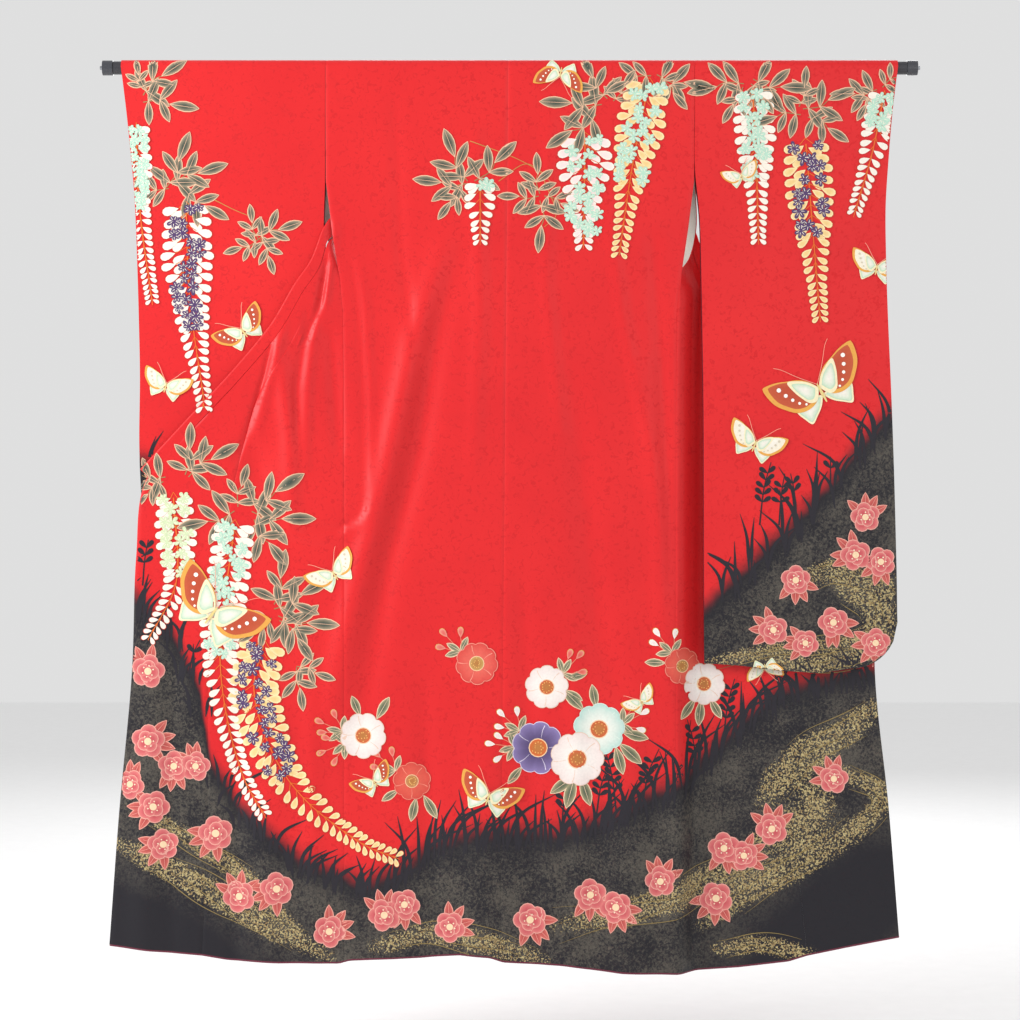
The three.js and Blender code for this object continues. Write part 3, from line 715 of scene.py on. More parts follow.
def over_far(points):
    """Bends the part above the rod's axis over the rod"""
    x, y, z = np.moveaxis(points, -1, 0)
    angle = np.maximum(z, 0) / DRAPE_R
    return np.stack([x, y * np.cos(angle), np.minimum(z, 0) + y * np.sin(angle)], axis=-1)


def collar():
    top = [*NECK, *COLLAR_TOP]
    left = [(-row[0], *row[1:3], -row[3], *row[4:]) for row in top]
    rows = [*COLLAR_LEFT[::-1], *left[::-1], *top[1:], *COLLAR_RIGHT]
    curves = through(np.array([[row[:3], row[3:6], (row[6], 0, 0)] for row in rows], float), FRONT_STEP)
    seam, fold = hang(behind_sleeve(curves[:, :2])).transpose(1, 0, 2)
    under_width = curves[:, 2, :1]
    across = fold - seam
    width = np.linalg.norm(across, axis=1, keepdims=True)
    across /= width
    under = np.cross(across, np.gradient(seam + fold, axis=0))
    under /= np.linalg.norm(under, axis=1, keepdims=True)
    edge = seam + across * (seam_gap(seam[:, 2:3]) - SEAM)
    rounding = COLLAR_GAP / 2
    profile = [(width * share, 0) for share in OUTER_SHARES]
    for i in range(7):
        turn = math.pi * i / 6
        profile.append((width - rounding + rounding * math.sin(turn), rounding - rounding * math.cos(turn)))
    profile += [(width - rounding - (under_width - rounding) * share, COLLAR_GAP) for share in UNDER_SHARES]
    grid = np.stack([edge + across * w + under * d for w, d in profile], axis=1)
    return cloth("collar_band", over_far(grid), 1)


band = collar()
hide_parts("collar")
for _ in range(2):  # the folded band shows the silk's right side only
    band.data.materials.append(red_rinzu)
dye(band, BODY_BLACK, BODY_STREAMS)

# ---------------------------------------------------------------------------
# Sleeves: each one length of silk, folded double over the rod and sewn below
# the cuff with a rounded corner. The left one is folded up behind itself.
# ---------------------------------------------------------------------------
# rows of z, inner x, outer x, inner near y, inner far y, outer near y, outer far y
SLEEVE_LEFT = np.array([
    (-830, 262, 640, -3, 4, -1.4, 2),
    (-803, 262, 641, -3, 4, -1.4, 2),
    (-700, 258, 649, -3, 5, -1, 2),
    (-560, 278, 647, -4, 7, -1, 1),
    (-450, 308, 649, -5, 8, -1, 1),
    (-370, 325, 651, -6, 9, -1.2, 0.8),
    (-260, 325, 655, -9, 12, -1.5, 0.8),
    (-200, 322.6, 658, -12.8, 13.2, -6, 6),
    (-70, 322.6, 670, -12.8, 13, -12, 12),
    (0, 322.6, 679, -DRAPE_R, DRAPE_R, -DRAPE_R, DRAPE_R),
])
SLEEVE_RIGHT = np.array([
    (-1080, 340, 677, -7, 3, -3, -1),
    (-931, 339, 677, -7, 4, -3, -1),
    (-756, 338.5, 673, -8, 6, -3.5, -1.5),
    (-600, 338, 668, -8, 7, -4, -2),
    (-470, 336, 662, -9, 8, -4, -2),
    (-360, 334, 658, -9.5, 9, -4, -2),
    (-260, 331, 656, -10, 11, -4, -2),
    (-200, 322.6, 658, -12.8, 13.2, -8, 6),
    (-70, 322.6, 668, -12.8, 13, -12, 12),
    (0, 322.6, 677, -DRAPE_R, DRAPE_R, -DRAPE_R, DRAPE_R),
])
ROUND_CORNER = 80  # radius of the outer bottom corner
SLEEVE_BOTTOM = np.array([(340, 1041), (403, 1045), (473, 1054), (543, 1058), (597, 1050)])
SEWN = 1  # half of the distance between two layers that are sewn together
SLEEVE_COLUMNS = 46
# the left sleeve: z of its fold and of its turned-up bottom edge, room inside the fold and the turned-up part
FOLD_AT, FOLD_UP, FOLD_INSIDE, FOLDED_ROOM = -803, -545, 3.6, 3.4
CORNER_RISE, CORNER_SHARE = 34, 0.12  # the fold's soft inner corner


def sleeve_point(table, side, u, z, layer, away=0.0):
    """Points of the near (0) or far (1) layer at the shares u of the sleeve's width"""
    z = np.broadcast_to(np.asarray(z, float), u.shape)

    def column(i):
        return np.interp(z, table[:, 0], table[:, i])

    x = column(1) + (column(2) - column(1)) * u
    y = column(3 + layer) + (column(5 + layer) - column(3 + layer)) * u**1.5
    return np.stack([side * x, y + away, z], axis=-1)


def hanging_sleeve(table, side, u):
    """The rows round the sleeve: down its near layer, round the bottom seam and up its far layer"""
    x = table[0, 1] + (table[0, 2] - table[0, 1]) * u
    flat, lowest = SLEEVE_BOTTOM[-1]
    corner = ROUND_CORNER - lowest - np.sqrt(np.maximum(0, ROUND_CORNER**2 - (x - flat) ** 2))
    bottom = np.where(x < flat, -lookup(SLEEVE_BOTTOM, x), corner)
    levels = [0.03, 0.09, 0.17, 0.25, 0.34, 0.45, 0.57, 0.7, 0.83, 0.94]
    low = (sleeve_point(table, side, u, bottom, 0) + sleeve_point(table, side, u, bottom, 1)) / 2
    ring = [sleeve_point(table, side, u, f * bottom, 0) for f in levels]
    ring += [low + (0, -SEWN, 2), low, low + (0, SEWN, 2)]
    return ring + [sleeve_point(table, side, u, f * bottom, 1) for f in levels[::-1]]


def folded_sleeve(table, side, u):
    """The rows round the sleeve: down, round the fold, up to the turned-up bottom edge, back down and up"""
    at = FOLD_AT + CORNER_RISE * (1 - smooth(0, CORNER_SHARE, u))
    levels = [-34, -90, -150, -205, -262, -340, -430, -540, -660, -760]
    ring = [sleeve_point(table, side, u, z, 0) for z in levels]
    back = FOLD_INSIDE + FOLDED_ROOM
    near, far = sleeve_point(table, side, u, at, 0), sleeve_point(table, side, u, at, 1, back)
    middle, reach = (near + far) / 2, ((far - near) / 2)[:, 1]
    zero = np.zeros_like(reach)
    ring.append(middle + np.stack([zero, -reach * 0.75, 4 - reach * 0.66], axis=1))
    ring.append(middle + np.stack([zero, zero, 4 - reach], axis=1))
    ring.append(middle + np.stack([zero, reach * 0.75, 4 - reach * 0.66], axis=1))
    ring += [sleeve_point(table, side, u, z, 1, back) for z in (-760, -690, -610)]
    top = sleeve_point(table, side, u, FOLD_UP, 1, FOLD_INSIDE + FOLDED_ROOM / 2)
    ring += [top + (0, SEWN, -2), top, top + (0, -SEWN, -2)]
    ring += [sleeve_point(table, side, u, z, 1, FOLD_INSIDE) for z in (-610, -690, -760)]
    turn = sleeve_point(table, side, u, at, 1, FOLD_INSIDE / 2)
    half = FOLD_INSIDE / 2
    ring += [turn + (0, half, 6), turn + (0, 0, 4.2), turn + (0, -half, 6)]
    return ring + [sleeve_point(table, side, u, z, 1) for z in levels[::-1]]


def sleeve(name, side, table, section):
    u = np.linspace(0, 1, SLEEVE_COLUMNS + 1)
    ring = section(table, side, u)
    x = side * (table[-1, 1] + (table[-1, 2] - table[-1, 1]) * u)
    arc = []
    for a in np.linspace(0, math.pi, ARC_STEPS + 1):
        y, z = np.full_like(x, DRAPE_R * math.cos(a)), np.full_like(x, DRAPE_R * math.sin(a))
        arc.append(np.stack([x, y, z], axis=1))
    grid = through(np.array([arc[-1], *ring, arc[0]]))
    grid = np.concatenate([grid, arc[1:-1]]).transpose(1, 0, 2)
    return cloth(name, grid if side > 0 else grid[::-1], -1, ring=True)


sleeve_left = sleeve("sleeve_folded_left", -1, SLEEVE_LEFT, folded_sleeve)
sleeve_right = sleeve("sleeve_hanging_right", 1, SLEEVE_RIGHT, hanging_sleeve)
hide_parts("sleeve_left")
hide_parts("sleeve_right")
sleeve_lining = lining_silk("red_purple_sleeve_lining", 1.0)
for piece in (sleeve_left, sleeve_right):
    piece.data.materials.append(red_rinzu)
    piece.data.materials.append(sleeve_lining)
    dye(piece, SLEEVE_BLACK, SLEEVE_STREAMS)

# ---------------------------------------------------------------------------
# Hem roll (fuki): the deep red-purple lining is turned out below the hem as a
# thin soft roll, blind-stitched along the whole lower edge.
# ---------------------------------------------------------------------------
ROLL_R, ROLL_SIDES = 1.9, 10
ROLL_BEHIND, ROLL_BELOW = 0.4, 0.6  # from the cloth's edge to the roll's middle


def hem_roll():
    verts, faces = [], []
    around = np.linspace(0, 2 * math.pi, ROLL_SIDES, endpoint=False)
    for edge in HEMS:
        start = len(verts)
        for point in edge:
            for a in around:
                off = (0, ROLL_R * math.cos(a) + ROLL_BEHIND, ROLL_R * math.sin(a) - ROLL_BELOW)
                verts.append(tuple((point + off) * MM))
        for i in range(len(edge) - 1):
            for k in range(ROLL_SIDES):
                a, b = start + i * ROLL_SIDES, start + (i + 1) * ROLL_SIDES
                after = (k + 1) % ROLL_SIDES
                faces.append((a + k, a + after, b + after, b + k))
        faces.append(tuple(start + k for k in range(ROLL_SIDES)))
        faces.append(tuple(start + (len(edge) - 1) * ROLL_SIDES + k for k in reversed(range(ROLL_SIDES))))
    return add_mesh("hem_roll", verts, faces)


roll = hem_roll()
roll.data.set_sharp_from_angle(angle=SHARP)
roll.data.materials.append(body_lining)
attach(roll, "root")

# ---------------------------------------------------------------------------
# Wisteria: the first of the dyed motifs. Each is painted on the silk with
# rice-paste outlines and gold edges, so it lies on the cloth like a thin film
# and follows its creases.
# ---------------------------------------------------------------------------
FILM, LAYER = 0.3, 0.13  # height of a motif's first and of each next layer of paste above the cloth
STROKE_RISE, RISES = 0.004, 32  # each stroke lies a hair above the one before it
CELL = 6.0  # longest edge inside a motif
RAY_FROM, RAY_REACH = 0.2, 0.4  # metres from the garment's middle plane, and length
SAME_FOLD = 9 * MM  # a face whose corners lie further apart in depth would bridge two folds
random.seed(7)


def cloth_tree(pieces):
    """A search tree of the faces of several pieces"""
    verts, faces = [], []
    for piece in pieces:
        start = len(verts)
        verts += [v.co.copy() for v in piece.data.vertices]
        faces += [[start + i for i in face.vertices] for face in piece.data.polygons]
    return BVHTree.FromPolygons(verts, faces)


GARMENT = cloth_tree([body_left, body_right, overlap_left, overlap_right, band, sleeve_left, sleeve_right])


def new_print(ground=0):
    """A design to fill with motifs; ground is the number of layers that lie under it"""
    return {"ground": ground, "strokes": 0, "verts": [], "faces": [], "tints": []}


def paste_height(design, layer):
    design["strokes"] += 1
    return FILM + LAYER * (design["ground"] + layer) + STROKE_RISE * (design["strokes"] % RISES)


def turned(points, degrees):
    """Points turned about the origin, from +x to +z"""
    c, s = math.cos(math.radians(degrees)), math.sin(math.radians(degrees))
    return np.asarray(points) @ np.array([[c, s], [-s, c]])


def stamp(design, outline, at, inner, rim=None, layer=0, core=(0, 0)):
    """Fills an outline that is open to its core, shading from the inner to the rim colour"""
    outline = np.asarray(outline, float)
    core = np.asarray(core, float)
    inner, rim = np.array(colour(inner)), np.array(colour(rim or inner))
    rings = max(1, math.ceil(np.linalg.norm(outline - core, axis=1).max() / CELL))
    start, count, up = len(design["verts"]), len(outline), paste_height(design, layer)
    design["verts"].append((*(core + at), up))
    design["tints"].append(inner)
    for ring in range(1, rings + 1):
        share = ring / rings
        for point in core + (outline - core) * share + at:
            design["verts"].append((*point, up))
            design["tints"].append(inner * (1 - share**2) + rim * share**2)
    for i in range(count):
        after = (i + 1) % count
        design["faces"].append((start, start + 1 + i, start + 1 + after))
        for ring in range(rings - 1):
            a = start + 1 + ring * count
            design["faces"].append((a + i, a + count + i, a + count + after, a + after))


def stroke(design, path, widths, tint, layer=0, spacing=4.0):
    """A brush stroke along a path; its width runs from the first to the last of widths"""
    line = polyline(path, spacing)
    along = np.gradient(line, axis=0)
    along /= np.maximum(np.linalg.norm(along, axis=1, keepdims=True), 1e-9)
    share = np.linspace(0, 1, len(line))
    half = np.interp(share, np.linspace(0, 1, len(widths)), widths)[:, None] / 2
    side = np.stack([-along[:, 1], along[:, 0]], axis=1) * half
    start, up = len(design["verts"]), paste_height(design, layer)
    for left, right in zip(line + side, line - side):
        design["verts"] += [(*left, up), (*right, up)]
        design["tints"] += [np.array(colour(tint))] * 2
    for i in range(len(line) - 1):
        a = start + 2 * i
        design["faces"].append((a, a + 1, a + 3, a + 2))


def print_on_cloth(name, design, cloths=GARMENT, side=-1):
    """Lays a design on the cloth that is nearest on that side (-1 is the garment's back), as one mesh"""
    placed = []
    for x, z, up in design["verts"]:
        hit = cloths.ray_cast(Vector((x * MM, side * RAY_FROM, z * MM)), Vector((0, -side, 0)), RAY_REACH)[0]
        placed.append(None if hit is None else (x * MM, hit.y + side * up * MM, z * MM))
    keep = []
    for face in design["faces"]:
        corners = [placed[i] for i in face]
        if None in corners:
            continue
        depths = [corner[1] for corner in corners]
        if max(depths) - min(depths) < SAME_FOLD:
            keep.append(face)
    used = sorted({i for face in keep for i in face})
    index = {old: new for new, old in enumerate(used)}
    made = add_mesh(name, [placed[i] for i in used], [[index[i] for i in face] for face in keep])
    tints = made.data.color_attributes.new("tint", "FLOAT_COLOR", "POINT")
    tints.data.foreach_set("color", np.array([design["tints"][i] for i in used]).ravel())
    made.data.materials.append(yuzen_paste)
    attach(made, "root")


# Yuzen dye with gold leaf at its edges: the dye's colours, faintly uneven, and the silk's own sheen
yuzen_paste, tree, shader, place = shaded("yuzen_dye_and_gold_paste", Specular_IOR_Level=0.3, Sheen_Weight=0.05)
painted_on = node(tree, "ShaderNodeAttribute", attribute_name="tint").outputs["Color"]
pooled = noise(tree, place, 260.0, 3.0)
shades = {0: painted_on, "Scale": spread(tree, pooled, 0.0, 1.0, 0.86, 1.06)}
hues = node(tree, "ShaderNodeVectorMath", shades, operation="SCALE").outputs[0]
feed(tree, shader, Base_Color=hues, Roughness=spread(tree, pooled, 0.0, 1.0, 0.4, 0.55),
     Normal=bump(tree, pooled, 0.15, 0.0002))

GOLD, CREAM, PEACH, ROSE = "#E0B060", "#F6EEE0", "#F0CC88", "#F4DCDA"
MINT, PURPLE, ORANGE = "#BCE2CC", "#57406C", "#E8702A"


def teardrop(length, width):
    """An outline from a point at the origin to a round end along +x"""
    t = np.linspace(0, 2 * math.pi, 12, endpoint=False)
    x = (1 - np.cos(t)) / 2
    return np.stack([x * length, np.sin(t) * width / 2 * x**0.55], axis=1)


def petal(design, at, degrees, length, width, inner, rim, layer=0, edge=None):
    if edge:
        stamp(design, turned(teardrop(length + 1.2, width + 1.6), degrees), at, edge, layer=layer,
              core=turned([(length / 2, 0)], degrees)[0])
    stamp(design, turned(teardrop(length, width), degrees), at, inner, rim, layer + (1 if edge else 0),
          core=turned([(length / 2, 0)], degrees)[0])


def keel_cluster(design, at, size, tint, layer):
    """The dark keels of an open flower: a fan of small petals with a pale fleck on each"""
    lean = random.uniform(0, 60)
    for k in range(6):
        degrees = lean + 60 * k + random.uniform(-12, 12)
        petal(design, at, degrees, size * random.uniform(0.75, 1.15), size * 0.72, tint, tint, layer + k % 2)
        fleck = turned([(size * 0.3, 0), (size * 0.75, 0)], degrees) + at
        stroke(design, fleck, (1.3, 0.5), "#F6EEDC", layer + 2, spacing=4)


def raceme(design, path, width, tone, heart, open_share):
    """A hanging raceme: pairs of round petals on stalks, smaller to the tip, and open flowers above"""
    line = polyline(path, 1.0)
    length = len(line) - 1
    light = CREAM if tone != PEACH else "#FBE6B0"
    reach = 4.0
    while reach < length:
        share = reach / length
        at = line[int(reach)]
        ahead = line[min(int(reach) + 6, length)] - line[max(int(reach) - 6, 0)]
        down = math.degrees(math.atan2(ahead[1], ahead[0]))
        half = width / 2 * np.interp(share, (0, 0.25, 0.55, 0.75, 1), (0.85, 1.0, 0.64, 0.42, 0.26))
        size = np.interp(share, (0, 0.4, 1), (29, 25, 15)) * (width / 88) ** 0.4
        for side in (-1, 1):
            lean = side * (74 - 22 * share)
            if share < open_share:
                foot = at + turned([(random.uniform(-3, 3), side * half * 0.1)], down)[0]
                petal(design, foot, down + lean * 0.8, size * 0.9, size * 0.66, tone, light, 1, edge="#C8402A")
            out = max(half - size * 0.92 + random.uniform(-2, 2), 1.5)
            foot = at + turned([(-size * 0.1, side * out)], down)[0]
            stroke(design, [at - turned([(size * 0.5, 0)], down)[0], foot], (1.1, 1.4), ORANGE, 2, spacing=9)
            sway = down + lean + random.uniform(-7, 7)
            petal(design, foot, sway, size, size * 0.7, tone, light, 3, edge="#C8402A")
        if share < open_share:
            for across in random.sample((-0.24, -0.08, 0.08, 0.24), 2):
                foot = at + turned([(random.uniform(-4, 4), across * width)], down)[0]
                keel_cluster(design, foot, random.uniform(10, 13.5), heart, 6)
        reach += size * 0.7
    stroke(design, path, (2.2, 1.8, 1.2), ORANGE, layer=5, spacing=6)


def leaf(design, at, degrees, length, width, inner="#3D4A41", rim="#A2937A", edge="#F0C2A0", layer=0):
    """A pointed leaf from its stalk outwards, with its midrib"""
    t = np.linspace(0, 2 * math.pi, 16, endpoint=False)
    x = (1 - np.cos(t)) / 2
    outline = np.stack([x**0.9 * length, np.sin(t) * np.abs(np.sin(t)) ** 0.9 * width / 2], axis=1)
    core = np.array([length / 2, 0])
    larger = (outline - core) * (1 + 3.4 / length, 1 + 3.2 / width) + core
    stamp(design, turned(larger, degrees), at, edge, layer=layer, core=turned([core], degrees)[0])
    stamp(design, turned(outline, degrees), at, inner, rim, layer + 1, core=turned([core], degrees)[0])
    rib = turned([(0, 0), (length * 0.5, 0), (length * 0.95, 0)], degrees) + at
    stroke(design, rib, (1.1, 0.5), edge, layer + 2, spacing=8)


LEAF_PAIRS = 2


def leaf_spray(design, at, degrees, size):
    """A compound leaf: pairs of long leaflets, and one at the end, that fan out from a bowed stalk"""
    bow = random.choice((-1, 1)) * size * 0.1
    stalk = turned([(0, 0), (size * 0.35, bow), (size * 0.52, bow * 0.5)], degrees) + at
    stroke(design, stalk, (1.8, 1.2), "#A08458", 0, spacing=5)
    line = polyline(stalk, 1.0)
    for i in range(LEAF_PAIRS):
        place = line[int((i + 0.5) / (LEAF_PAIRS + 0.5) * (len(line) - 1))]
        for side in (-1, 1):
            length = size * random.uniform(0.44, 0.54)
            way = degrees + side * (72 - 20 * i) + random.uniform(-8, 8)
            leaf(design, place, way, length, length * 0.31, layer=1 + i)
    leaf(design, line[-1], degrees + random.uniform(-8, 8), size * 0.56, size * 0.18, layer=4)


wisteria = new_print(ground=2)
# racemes: path of x and z, width, petals' colour, colour of the flowers' hearts, share in full flower
RACEMES = [
    ([(-652, -105), (-648, -240), (-625, -415)], 50, CREAM, MINT, 0.45),
    ([(-566, -245), (-560, -400), (-533, -596)], 92, CREAM, PURPLE, 0.6),
    ([(-52, -205), (-52, -312)], 56, CREAM, MINT, 0.1),
    ([(131, -126), (128, -318)], 98, ROSE, MINT, 0.85),
    ([(242, -30), (214, -170), (190, -330)], 88, PEACH, MINT, 0.6),
    ([(424, -47), (430, -180), (434, -310)], 74, CREAM, MINT, 0.55),
    ([(516, -135), (530, -300), (542, -445)], 88, PEACH, PURPLE, 0.5),
    ([(652, -50), (632, -150), (600, -262)], 60, CREAM, MINT, 0.3),
    ([(-586, -752), (-582, -900), (-630, -1000)], 74, CREAM, "#D6E4B8", 0.5),
    ([(-480, -800), (-505, -1040), (-468, -1230), (-424, -1310)], 80, CREAM, MINT, 0.45),
    ([(-430, -1010), (-446, -1090), (-385, -1245), (-262, -1352), (-192, -1382)], 92, PEACH, PURPLE, 0.5),
]
# sprays of leaves: x, z, direction, size
SPRAYS = [
    (-640, -50, 40, 90), (-640, -62, 350, 90), (-640, -40, 100, 50), (-600, -210, 70, 96),
    (-590, -206, 18, 96), (-596, -212, 170, 66), (-566, -214, 325, 84), (-440, -301, 20, 76),
    (-440, -301, 200, 60), (-436, -301, 290, 60), (-440, -299, 105, 56), (-74, -200, 112, 92),
    (-74, -204, 172, 88), (-62, -200, 48, 92), (-84, -208, 230, 66), (52, -222, 90, 66),
    (50, -226, 175, 66), (52, -234, 268, 84), (60, -226, 330, 60), (160, -66, 172, 100),
    (150, -84, 208, 96), (170, -56, 120, 84), (180, -60, 60, 60), (246, -16, 200, 76),
    (256, -14, 350, 96), (262, -20, 305, 66), (408, -30, 192, 92), (406, -36, 236, 66),
    (424, -22, 350, 96), (420, -30, 305, 60), (507, -84, 190, 80), (511, -74, 25, 90),
    (520, -88, 325, 76), (504, -70, 80, 66), (640, -40, 185, 76), (640, -44, 235, 56),
    (650, -36, 30, 56), (-560, -716, 32, 96), (-566, -712, 85, 84), (-600, -716, 170, 84),
    (-604, -724, 225, 66), (-480, -775, 196, 96), (-474, -768, 75, 70), (-458, -764, 30, 104),
    (-450, -776, 352, 104), (-446, -790, 308, 92), (-411, -938, 82, 90), (-411, -946, 34, 100),
    (-404, -958, 352, 100), (-402, -966, 310, 84), (-416, -962, 215, 66), (-372, -1046, 335, 66),
    (-372, -1048, 285, 70),
]
for x, z, degrees, size in SPRAYS:
    leaf_spray(wisteria, (x, z), degrees, size)
for bunch in RACEMES:
    raceme(wisteria, *bunch)
# tendrils between the sprays
for path in ([(-70, -130), (10, -160), (66, -190)], [(-20, -200), (30, -170), (70, -200)],
             [(-520, -230), (-480, -250), (-450, -262)], [(60, -200), (80, -260), (60, -280)]):
    stroke(wisteria, path, (1.6, 1.0), "#C98A4A", 0)
print_on_cloth("dyed_wisteria", wisteria)

# ---------------------------------------------------------------------------
# Butterflies: painted in cream and mint dye, some with red-brown borders and
# white spots, and rimmed with gold paste. They are the uppermost motif.
# ---------------------------------------------------------------------------
# outlines along a wing of length 1, with the leading edge on the plus side
FORE_WING = [
    (0, 0), (0.18, 0.1), (0.35, 0.14), (0.58, 0.12), (0.8, 0.09), (1.0, 0.0), (0.98, -0.06),
    (0.8, -0.28), (0.58, -0.39), (0.38, -0.44), (0.17, -0.38), (0.04, -0.24),
]
WING_PANEL = [
    (0, 0), (0.18, 0.09), (0.35, 0.12), (0.56, 0.1), (0.45, -0.06), (0.3, -0.19), (0.17, -0.27),
    (0.04, -0.24),
]
HIND_WING = [
    (0, 0), (0.05, 0.12), (0.41, 0.45), (0.66, 0.78), (0.85, 0.55), (0.94, 0.3), (1.0, 0.0),
    (0.69, -0.06), (0.36, -0.08),
]
WING_SPOTS = [(0.71, -0.03), (0.59, -0.13), (0.47, -0.21), (0.35, -0.27), (0.23, -0.29)]
WING_RIM, WING_CREAM, WING_MINT, PEARL = "#E9A84C", "#F7EBC2", "#BCDCBC", "#F4EEE2"


def round_outline(points):
    t = np.linspace(0, 2 * math.pi, points, endpoint=False)
    return np.stack([np.cos(t), np.sin(t)], axis=1)


def wing(design, at, degrees, size, side, fields, layer):
    """One wing: fields laid one on another, each an outline with its core, share and two colours"""
    for shape, core, share, inner, rim in fields:
        flip = np.array([size, size * side])
        outline = polyline([*shape, shape[0]], 0.05)[:-1] * flip
        core = np.array(core) * flip
        field = turned((outline - core) * share + core, degrees)
        stamp(design, field, at, inner, rim, layer, turned([core], degrees)[0])
        layer += 1


def butterfly(design, x, z, size, degrees, red):
    """Pointed wings held wide, with a mint panel by the slim body, and two long feelers"""
    at = np.array([x, z])
    band = ("#BE4A30", "#C65A38") if red else (PEARL, "#F6EBD0")
    for side in (1, -1):
        waist = turned([(0, -size * 0.05)], degrees)[0] + at
        wing(design, waist, degrees + 90 - side * 132, size * 0.36, side, [
            (HIND_WING, (0.6, 0.25), 1.0, WING_CREAM, WING_CREAM),
            (HIND_WING, (0.6, 0.25), 0.84, PEARL, WING_MINT),
        ], 0)
        shoulder, fore = turned([(0, size * 0.05)], degrees)[0] + at, degrees + 90 - side * 63
        wing(design, shoulder, fore, size * 0.66, side, [
            (FORE_WING, (0.4, -0.05), 1.0, WING_RIM, WING_RIM), (FORE_WING, (0.4, 0.0), 0.84, *band),
            (WING_PANEL, (0.25, -0.05), 1.0, WING_CREAM, WING_CREAM),
            (WING_PANEL, (0.25, -0.05), 0.74, PEARL, WING_MINT),
        ], 4)
        for i, spot in enumerate(WING_SPOTS):
            place = turned([np.array(spot) * size * 0.66 * (1, side)], fore)[0] + shoulder
            tint = "#FFFDF4" if red else "#D9CDB4"
            stamp(design, round_outline(7) * size * (0.027 - 0.003 * i), place, tint, layer=9)
        feeler = np.array([(0, 0.09), (side * 0.16, 0.27), (side * 0.3, 0.45), (side * 0.36, 0.5)]) * size
        stroke(design, turned(feeler, degrees) + at, (1.1, 0.9), "#F2A08A", 12, spacing=4)
    body = turned([(0, size * 0.1), (0, 0), (0, -size * 0.14)], degrees) + at
    stroke(design, body, np.array([0.013, 0.038, 0.016]) * size, "#E8D08A", 12, spacing=3)


flutter = new_print(ground=10)
# x, z, size, turn, and 1 for the red-brown kind
BUTTERFLIES = [
    (-466, -462, 84, 38, 1), (-602, -558, 74, -17, 0), (88, -12, 74, 168, 1), (404, -192, 56, 20, 0),
    (640, -352, 80, -12, 0), (543, -566, 150, 29, 1), (427, -660, 88, -22, 0),
    (-518, -954, 150, -37, 1), (-306, -886, 80, 34, 0), (-236, -1248, 66, 34, 1),
    (-38, -1274, 96, -19, 1), (229, -1108, 54, 36, 0), (446, -1050, 56, 190, 0),
]
for insect in BUTTERFLIES:
    butterfly(flutter, *insect)
print_on_cloth("dyed_butterflies", flutter)

# ---------------------------------------------------------------------------
# Blossoms: large round flowers with scalloped edges in white, mint, red and
# purple, outlined in gold, with leaves and sprays of buds on thin stalks.
# ---------------------------------------------------------------------------
LOBES, NOTCH = 9, 0.1  # lobes of a blossom's edge, and the notches' depth as a share of the radius


def scalloped(radius):
    t = np.linspace(0, 2 * math.pi, 6 * LOBES, endpoint=False)
    reach = radius * (1 - NOTCH + NOTCH * np.abs(np.cos(LOBES * t / 2)) ** 0.6)
    return np.stack([np.cos(t) * reach, np.sin(t) * reach], axis=1)


def blossom(design, x, z, radius, inner, rim, edge, heart, layer=5):
    start = random.uniform(0, 72)
    stamp(design, turned(scalloped(radius + 1.4), start), (x, z), edge, layer=layer)
    stamp(design, turned(scalloped(radius), start), (x, z), inner, rim, layer + 2)
    for i in range(5):
        fold = np.array([(0.42, 0), (0.7, 0.03), (0.9, 0)]) * radius
        stroke(design, turned(fold, 72 * i + start) + (x, z), (0.5, 1.6), edge, layer + 3, spacing=6)
    stamp(design, round_outline(16) * radius * 0.37, (x, z), "#F4CFA2", layer=layer + 3)
    stamp(design, round_outline(16) * radius * 0.33, (x, z), "#B8783C", heart, layer + 4)
    for i in range(12):
        dot = turned([(radius * random.uniform(0.12, 0.28), 0)], 30 * i)[0] + (x, z)
        stamp(design, round_outline(5) * 1.1, dot, "#F0C070", layer=layer + 5)


def bud_spray(design, x, z, degrees, tone, light):
    """Three buds that fan out on thin stalks, with two small leaves at the foot"""
    for lean, reach in ((-36, 24), (0, 34), (33, 26)):
        way = degrees + lean + random.uniform(-6, 6)
        end = turned([(0, 0), (reach * 0.6, lean * 0.04), (reach, 0)], way) + (x, z)
        stroke(design, end, (1.5, 1.2), "#E8866A", 0, spacing=6)
        petal(design, end[2], way, 18, 13, tone, light, 3, edge=GOLD)
    for lean in (-68, 64, 18):
        leaf(design, (x, z), degrees + lean, 27, 9, inner="#5E6A56", rim="#A8A07C", edge="#F0D2B0")


flowers = new_print(ground=2)
WHITE, SHELL = "#F5EFE8", "#EEDDD8"
WHITE_BLOSSOM = (WHITE, SHELL, "#E9C9B4", "#D2603A")
RED_BLOSSOM = ("#E2604E", "#D84C40", "#EE8C78")
